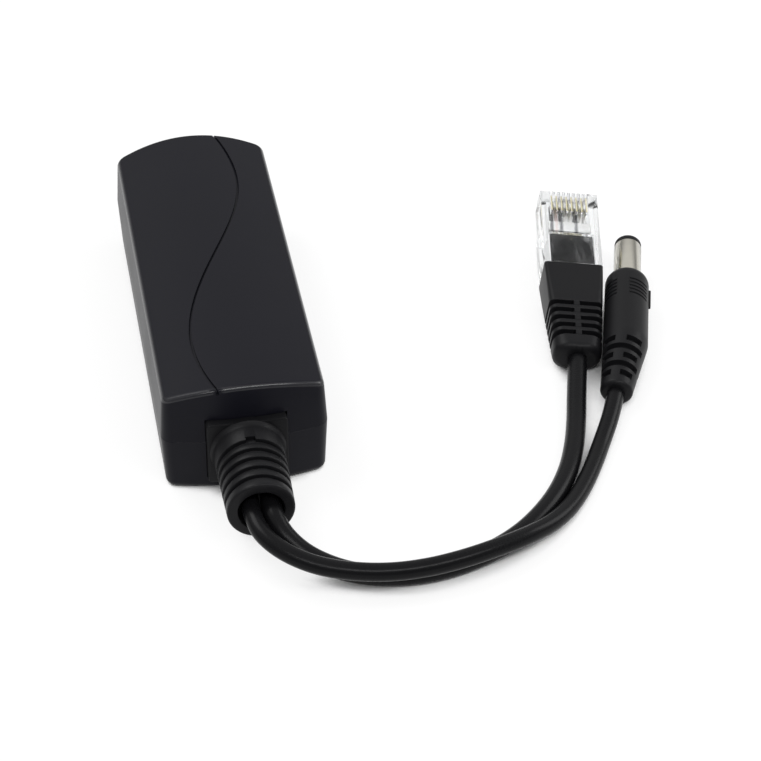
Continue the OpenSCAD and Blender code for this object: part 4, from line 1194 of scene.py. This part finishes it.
def boot_ring(half_w, half_h, corner, carved, spine):
    """One ring of the boot's skin. Its slots stop at a spine on the top and on the bottom."""

    def corner_points(w, h, r):
        r = max(min(r, w - 0.05 * MM, h - 0.05 * MM), 0.1 * MM)
        points = [(x * (w - r), h) for x in (0.4, 0.7)]
        for i in range(7):
            a = math.radians(90 - 15 * i)
            points.append((w - r + r * math.cos(a), h - r + r * math.sin(a)))
        return points

    full = [(0.0, half_h), (spine / 2 - 0.08 * MM, half_h)]
    low = half_h - carved
    quarter = full + [(spine / 2 + 0.04 * MM, low)] + corner_points(half_w - carved, low, corner - carved * 0.6)
    right = quarter + [(x, -z) for x, z in reversed(quarter)]
    return right + [(-x, z) for x, z in reversed(right[1:-1])]


class SPLITTER_OT_network_plug(bpy.types.Operator):
    """Builds the clear network plug, its contacts and wires, and its slotted boot"""

    bl_idname = "splitter.network_plug"
    bl_label = "Network Plug"

    def execute(self, context):
        plug = context.scene.splitter_network_plug
        place = turns_matrix(NETWORK_PLUG_PLACE, NETWORK_PLUG_TURNS)
        rings = [
            [(x, -s, z) for x, z in boot_ring(w, h, corner, carved, plug.spine_width)]
            for s, w, h, corner, carved in boot_sections(plug)
        ]
        boot = loft("boot", rings)
        reach, low = plug.tongue_width / 2, -2.7 * MM
        tongue = box("tongue", (-reach, -MM, low), (reach, plug.tongue_length, low + plug.tongue_height))
        tongue = modified(tongue, "BEVEL", width=0.2 * MM, segments=3, limit_method="ANGLE")
        boot = cut(boot, tongue, operation="UNION")
        finish_piece(boot, "network_boot", "black_pvc", ["data_plug_boot"], place, angle=35)
        mark(boot, "data_plug_boot")
        body = eased_copy("data_plug_body", "network_plug_clear", 0.1 * MM)
        finish_piece(body, "network_plug_clear", "clear", ["data_plug_body"], angle=40)
        mark(body, "data_plug_body")
        first = -3.5 * plug.contact_pitch
        step = (plug.contact_pitch, 0.0, 0.0)
        nose, top = plug.length, plug.rear_height / 2
        blade = box("blade", (-plug.blade / 2, nose - 5.6 * MM, 0.83 * MM), (plug.blade / 2, nose - 1.2 * MM, top - 0.45 * MM))
        blade = modified(blade, "BEVEL", width=0.12 * MM, segments=3, limit_method="ANGLE")
        blades = row_of(blade, 8, (first, 0.0, 0.0), step, "gold")
        finish_piece(blades, "network_contacts", "gold", ["data_plug_contacts"], place)
        mark(blades, "data_plug_contacts")
        run = nose - plug.tongue_length - 2.4 * MM
        wire = revolve(
            "wire",
            [
                (0.0, 0.0), (0.42 * MM, 0.0), (0.47 * MM, 0.1 * MM), (0.47 * MM, run - 0.1 * MM),
                (0.3 * MM, run), (0.0, run),
            ],
            20,
        )
        stand = Matrix.Translation((0.0, plug.tongue_length, 0.3 * MM))
        wire.data.transform(stand @ Matrix.Rotation(-math.pi / 2, 4, "X"))
        wires = row_of(wire, 8, (first, 0.0, 0.0), step, "wire_ends")
        finish_piece(wires, "network_wire_ends", "wire_ends", ["data_plug_wires"], place)
        place_across(wires, place, plug.contact_pitch)
        mark(wires, "data_plug_wires")
        comb = eased_copy("data_plug_load_bar", "network_wire_comb", 0.08 * MM)
        finish_piece(comb, "network_wire_comb", "milky_bar", ["data_plug_load_bar"])
        place_across(comb, place, plug.contact_pitch)
        mark(comb, "data_plug_load_bar")
        return {"FINISHED"}


# ---------------------------------------------------------------- power plug


def power_axis(power, s):
    """Point, side and up of the power plug's bent axis at a distance s behind its shoulder."""
    start = Vector(POWER_PLUG_PLACE) * MM
    ahead, behind = heading(*POWER_PLUG_TURNS[:2]), heading(TAIL_YAW, TAIL_PITCH)
    bend = 1.5 * MM
    joint = power.handle_length
    t = min(max((s - joint + bend) / (2 * bend), 0.0), 1.0)
    direction = ahead.lerp(behind, t).normalized()
    point = start - min(s, joint) * ahead - max(s - joint, 0.0) * behind
    side = direction.cross(Vector((0.0, 0.0, 1.0))).normalized()
    return point, side, side.cross(direction).normalized()


def handle_rings(power):
    """Rings of the handle's skin: nose dome, grip ribs, straight part, slotted tail and end collar."""
    radius, nose = power.handle_diameter / 2, 3.2 * MM
    face, joint, tail = power.barrel_diameter / 2 + 0.2 * MM, power.handle_length, power.tail_length
    end, collar, round_ = joint + tail, 1.3 * MM, 0.9 * MM
    end_radius = power.tail_diameter / 2
    slot_depth, slot_width = 1.1 * MM, 1.3 * MM
    shoulder = 2.4 * MM
    stations = [(0.0, "shrink", 0.12 * MM), (0.06 * MM, "", 0.0)]
    stations += [(shoulder * (1 - math.cos(math.pi / 2 * i / 12)), "", 0.0) for i in range(3, 13)]
    for i in range(5):
        s = nose + (1.15 + i * 1.05) * MM
        for offset, share in ((-0.04, 0.0), (0.04, 0.8), (0.1, 1.0), (0.35, 1.0), (0.41, 0.8), (0.49, 0.0)):
            stations.append((s + offset * MM, "grip", share * 0.25 * MM))
    stations += [(joint - d * MM, "", 0.0) for d in (6.0, 4.0, 2.0, 0.8, 0.0)]
    row_pitch = (tail - collar - 1.4 * MM) / power.tail_rows
    for i in range(power.tail_rows):
        s = joint + 1.5 * MM + i * row_pitch
        kind = "corners" if i % 2 == 0 else "ends"
        for offset, share in ((-0.05, 0.0), (0.03, 0.85), (0.16, 1.0), (1.14, 1.0), (1.27, 0.85), (1.35, 0.0)):
            stations.append((s + offset / 1.3 * slot_width, kind, share * slot_depth))
    stations.append((end - collar, "", 0.0))
    for i in range(1, 9):
        a = math.radians(90 * i / 8)
        stations.append((end - round_ * (1 - math.sin(a)), "shrink", round_ * (1 - math.cos(a))))

    def plain_radius(s):
        if s < shoulder:
            return face + (radius - face) * (1 - (1 - s / shoulder) ** 2.2) ** (1 / 1.5)
        if s < joint:
            return radius
        t = min((s - joint) / (tail - collar), 1.0)
        return radius + (end_radius - radius) * t

    def is_cut(kind, turn):
        """Whether a ring is cut at this turn, in degrees from the top to the right."""
        if kind == "grip":
            return (turn - 4.5) % 90.0 < 56.0
        lean = (turn + 11.0) % 180.0
        if kind == "corners":
            return 15.0 < lean < 62.0 or 118.0 < lean < 165.0
        return kind == "ends" and not 75.0 < lean < 105.0

    rings = []
    for s, kind, depth in stations:
        point, side, up = power_axis(power, s)
        base = plain_radius(s)
        ring = []
        for i in range(180):
            turn = 2.0 * i
            a = math.radians(turn)
            r = base - depth if kind == "shrink" or (depth and is_cut(kind, turn)) else base
            ring.append(point + r * (math.sin(a) * side + math.cos(a) * up))
        rings.append(ring)
    return rings


class SPLITTER_OT_power_plug(bpy.types.Operator):
    """Builds the power plug with its ribbed handle, barrel, insulator and inner contact"""

    bl_idname = "splitter.power_plug"
    bl_label = "Power Plug"

    def execute(self, context):
        power = context.scene.splitter_power_plug
        place = turns_matrix(POWER_PLUG_PLACE, POWER_PLUG_TURNS) @ Matrix.Rotation(-math.pi / 2, 4, "X")
        handle = loft("handle", handle_rings(power))
        seat = 3 * MM
        outer, wall, length_ = power.barrel_diameter / 2, power.barrel_wall, power.barrel_length
        socket = revolve("socket", [(0.0, -seat), (outer + 0.02 * MM, -seat), (outer + 0.02 * MM, 2 * MM), (0.0, 2 * MM)], 64)
        socket.data.transform(place)
        radius, nose = power.handle_diameter / 2, 3.2 * MM
        bar = box(
            "bar",
            (radius - 0.4 * MM, -0.45 * MM, -nose - 5.1 * MM),
            (radius + 0.4 * MM, 0.45 * MM, -nose - 0.1 * MM),
        )
        bar = modified(bar, "BEVEL", width=0.2 * MM, segments=3, limit_method="ANGLE")
        bar.data.transform(place)
        handle = cut(cut(handle, socket), bar, operation="UNION")
        finish_piece(handle, "power_handle", "black_pvc", ["power_plug_handle"], angle=35)
        mark(handle, "power_plug_handle")
        rim = length_ - 1.3 * MM
        inner = outer - wall
        barrel = revolve(
            "barrel",
            [
                (inner, -seat), (outer, -seat), (outer, rim - 0.3 * MM), (outer - 0.08 * MM, rim - 0.08 * MM),
                (outer - 0.2 * MM, rim), (inner, rim), (inner, -seat),
            ],
            96,
        )
        finish_piece(barrel, "power_barrel", "nickel", ["power_plug_barrel"], place, angle=50)
        mark(barrel, "power_plug_barrel")
        hole = (power.bore + 0.94 * MM) / 2
        tip = outer - 0.03 * MM
        insulator = revolve(
            "insulator",
            [
                (hole, -seat), (inner - 0.05 * MM, -seat), (inner - 0.05 * MM, rim), (tip - 0.15 * MM, rim),
                (tip, rim + 0.12 * MM), (tip, rim + 0.7 * MM), (tip - 0.06 * MM, rim + 0.95 * MM),
                (tip - 0.2 * MM, rim + 1.15 * MM), (tip - 0.45 * MM, length_ - 0.02 * MM), (tip - 0.7 * MM, length_),
                (hole + 0.2 * MM, length_), (hole, length_ - 0.2 * MM), (hole, -seat),
            ],
            96,
        )
        finish_piece(insulator, "power_tip_insulator", "dark_moulding", ["power_plug_insulator"], place)
        mark(insulator, "power_plug_insulator")
        bore, tube = power.bore / 2, (power.bore + 0.9 * MM) / 2
        mouth = length_ - 0.6 * MM
        contact = revolve(
            "contact",
            [
                (0.0, -seat), (tube, -seat), (tube, mouth - 0.1 * MM), (tube - 0.1 * MM, mouth), (bore + 0.1 * MM, mouth),
                (bore, mouth - 0.1 * MM), (bore, mouth - power.bore_depth), (0.0, mouth - power.bore_depth),
            ],
            64,
        )
        finish_piece(contact, "power_inner_contact", "gold", ["power_plug_contact"], place)
        mark(contact, "power_plug_contact")
        return {"FINISHED"}


# ---------------------------------------------------------------- inside the housing


class SPLITTER_OT_insides(bpy.types.Operator):
    """Dresses the network jack, the circuit board and the parts on it"""

    bl_idname = "splitter.insides"
    bl_label = "Insides"

    def execute(self, context):
        for node, name, surface, slot, ease in (
            ("jack_housing", "jack_shell", "dark_moulding", "dark_plastic", 0.15),
            ("jack_insert", "jack_carrier", "dark_moulding", "dark_plastic", 0.05),
            ("jack_contacts", "jack_springs", "gold", "gold", 0.05),
            ("circuit_board", "splitter_board", "board", "board", 0.08),
            ("lan_magnetics", "data_transformer", "dark_moulding", "dark_plastic", 0.06),
            ("transformer_core", "power_core", "ferrite", "ferrite", 0.15),
            ("transformer_bobbin", "power_bobbin", "pale_moulding", "pale_plastic", 0.08),
            ("transformer_winding", "power_winding", "copper", "copper", 0.1),
            ("input_capacitor", "input_can", "can_sleeve", "can_sleeve", 0.1),
            ("output_capacitor", "output_can", "can_sleeve", "can_sleeve", 0.1),
            ("bridge_rectifiers", "rectifiers", "dark_moulding", "dark_plastic", 0.06),
            ("output_inductor", "choke_drum", "ferrite", "ferrite", 0.15),
            ("inductor_winding", "choke_winding", "copper", "copper", 0.1),
            ("controller_chip", "controller", "dark_moulding", "dark_plastic", 0.04),
            ("switch_transistor", "switch", "dark_moulding", "dark_plastic", 0.04),
            ("output_diode", "diode", "dark_moulding", "dark_plastic", 0.04),
            ("optocoupler", "coupler", "pale_moulding", "pale_plastic", 0.04),
            ("chip_resistors", "small_parts", "ceramic", "ceramic", 0.05),
            ("data_wires", "board_data_wires", "wire_coat", "wire_coat", 0.0),
            ("power_wires", "board_power_wires", "wire_coat", "wire_coat", 0.0),
        ):
            piece = eased_copy(node, name, ease * MM, angle=40.0) if ease else eased_copy(node, name, 0.001 * MM, 1, 80.0)
            finish_piece(piece, name, surface, [node], angle=35 if ease else 60)
        return {"FINISHED"}


# ---------------------------------------------------------------- stage


def lamp(name, place, target, size, watts, tint=(1.0, 1.0, 1.0)):
    """A rectangular soft lamp that points at a target."""
    data = bpy.data.lights.new(name, "AREA")
    data.shape = "RECTANGLE"
    data.size, data.size_y = size
    data.energy = watts
    data.color = tint
    obj = bpy.data.objects.new(name, data)
    obj.location = place
    obj.rotation_euler = (Vector(target) - Vector(place)).to_track_quat("-Z", "Y").to_euler()
    bpy.context.scene.collection.objects.link(obj)


def seen_rays(tree):
    """1 for the rays in which a white background shows: camera, glossy and transmission."""
    rays = tree.nodes.new("ShaderNodeLightPath")
    both = math_node(tree, "MAXIMUM", rays.outputs["Is Camera Ray"], rays.outputs["Is Glossy Ray"])
    return math_node(tree, "MAXIMUM", both, rays.outputs["Is Transmission Ray"])


class SPLITTER_OT_stage(bpy.types.Operator):
    """Lays the pale floor and sets the lamps and the world"""

    bl_idname = "splitter.stage"
    bl_label = "Stage"

    def execute(self, context):
        settings = context.scene.splitter_stage
        floor = mesh_object("floor", [(-3, -3, 0), (3, -3, 0), (3, 3, 0), (-3, 3, 0)], [(0, 1, 2, 3)])
        floor.data.transform(Matrix.Translation((0.0, 0.0, -0.00002)))
        surface = bpy.data.materials.new("Pale Floor")
        surface.use_nodes = True
        tree = surface.node_tree
        tree.nodes.remove(tree.nodes["Principled BSDF"])
        matt = add_node(tree, "ShaderNodeBsdfDiffuse")
        matt.inputs["Color"].default_value = (*settings.floor, 1.0)
        glow = add_node(tree, "ShaderNodeEmission")
        glow.inputs["Color"].default_value = (1.0, 1.0, 1.0, 1.0)
        glow.inputs["Strength"].default_value = 1.05
        mix = add_node(tree, "ShaderNodeMixShader", [(1, matt.outputs[0]), (2, glow.outputs[0])])
        # Painted shade: the floor's white glow is cut where ambient occlusion finds deep gaps close to the object, so
        # the floor there shows dark, as between the plugs.
        nearby = add_node(tree, "ShaderNodeAmbientOcclusion", samples=8)
        nearby.inputs["Distance"].default_value = 0.006
        glow_outside_painted_gap_shade = math_node(tree, "MULTIPLY", math_node(tree, "SUBTRACT", nearby.outputs["AO"], 0.34), 6.0, clamp=True)
        through = tree.nodes.new("ShaderNodeLightPath").outputs["Is Transmission Ray"]
        glow_outside_painted_gap_shade = math_node(tree, "MAXIMUM", glow_outside_painted_gap_shade, through)
        share = math_node(tree, "MULTIPLY", seen_rays(tree), 0.78)
        tree.links.new(math_node(tree, "MULTIPLY", share, glow_outside_painted_gap_shade), mix.inputs[0])
        tree.links.new(mix.outputs[0], tree.nodes["Material Output"].inputs["Surface"])
        floor.data.materials.append(surface)
        world = bpy.data.worlds.new("World")
        context.scene.world = world
        world.use_nodes = True
        tree = world.node_tree
        back = tree.nodes["Background"]
        back.inputs["Color"].default_value = (1.0, 1.0, 1.0, 1.0)
        share = math_node(tree, "MULTIPLY", seen_rays(tree), 1.0 - settings.ambient)
        white = math_node(tree, "ADD", share, settings.ambient)
        way = tree.nodes.new("ShaderNodeTexCoord").outputs["Generated"]
        parts = add_node(tree, "ShaderNodeSeparateXYZ", [("Vector", way)])
        height = parts.outputs["Z"]
        band = math_node(tree, "SUBTRACT", 1.0, math_node(tree, "DIVIDE", math_node(tree, "ABSOLUTE", math_node(tree, "SUBTRACT", height, 0.15)), 0.3), clamp=True)
        glossy = tree.nodes.new("ShaderNodeLightPath").outputs["Is Glossy Ray"]
        behind = math_node(tree, "MULTIPLY", parts.outputs["Y"], -1.2, clamp=True)
        shade = math_node(tree, "MAXIMUM", band, behind)
        dim = math_node(tree, "MULTIPLY", math_node(tree, "MULTIPLY", shade, glossy), settings.horizon)
        tree.links.new(math_node(tree, "MULTIPLY", white, math_node(tree, "SUBTRACT", 1.0, dim)), back.inputs["Strength"])
        aim = (0.03, -0.02, 0.01)
        lamp("key", (-0.35, 0.25, 0.75), aim, (0.5, 0.5), 3.4)
        lamp("front", (0.12, -0.5, 0.66), aim, (0.9, 0.1), 3.4)
        lamp("right", (0.7, 0.1, 0.35), aim, (0.3, 0.4), 1.4)
        context.scene.view_settings.view_transform = "Standard"
        return {"FINISHED"}


class SPLITTER_PT_pieces(bpy.types.Panel):
    """Lists the pieces of the splitter"""

    bl_label = "PoE Splitter"
    bl_idname = "SPLITTER_PT_pieces"
    bl_space_type = "VIEW_3D"
    bl_region_type = "UI"
    bl_category = "Splitter"

    def draw(self, context):
        for operator in OPERATORS:
            self.layout.operator(operator.bl_idname)


SETTINGS = {
    "splitter_housing": HousingSettings,
    "splitter_leads": LeadSettings,
    "splitter_relief": StrainReliefSettings,
    "splitter_network_plug": NetworkPlugSettings,
    "splitter_power_plug": PowerPlugSettings,
    "splitter_stage": StageSettings,
}
OPERATORS = (
    SPLITTER_OT_camera,
    SPLITTER_OT_leads,
    SPLITTER_OT_housing,
    SPLITTER_OT_strain_relief,
    SPLITTER_OT_network_plug,
    SPLITTER_OT_power_plug,
    SPLITTER_OT_insides,
    SPLITTER_OT_stage,
)


def register():
    for settings in SETTINGS.values():
        bpy.utils.register_class(settings)
    for operator in (*OPERATORS, SPLITTER_PT_pieces):
        bpy.utils.register_class(operator)
    for name, settings in SETTINGS.items():
        setattr(bpy.types.Scene, name, PointerProperty(type=settings))


def unregister():
    for name in SETTINGS:
        delattr(bpy.types.Scene, name)
    for item in (SPLITTER_PT_pieces, *reversed(OPERATORS), *reversed(SETTINGS.values())):
        bpy.utils.unregister_class(item)


def main():
    """Builds the whole model."""
    register()
    bpy.ops.splitter.camera()
    bpy.ops.splitter.leads()
    bpy.ops.splitter.housing()
    bpy.ops.splitter.strain_relief()
    bpy.ops.splitter.network_plug()
    bpy.ops.splitter.power_plug()
    bpy.ops.splitter.insides()
    bpy.ops.splitter.stage()


if __name__ == "__main__":
    main()
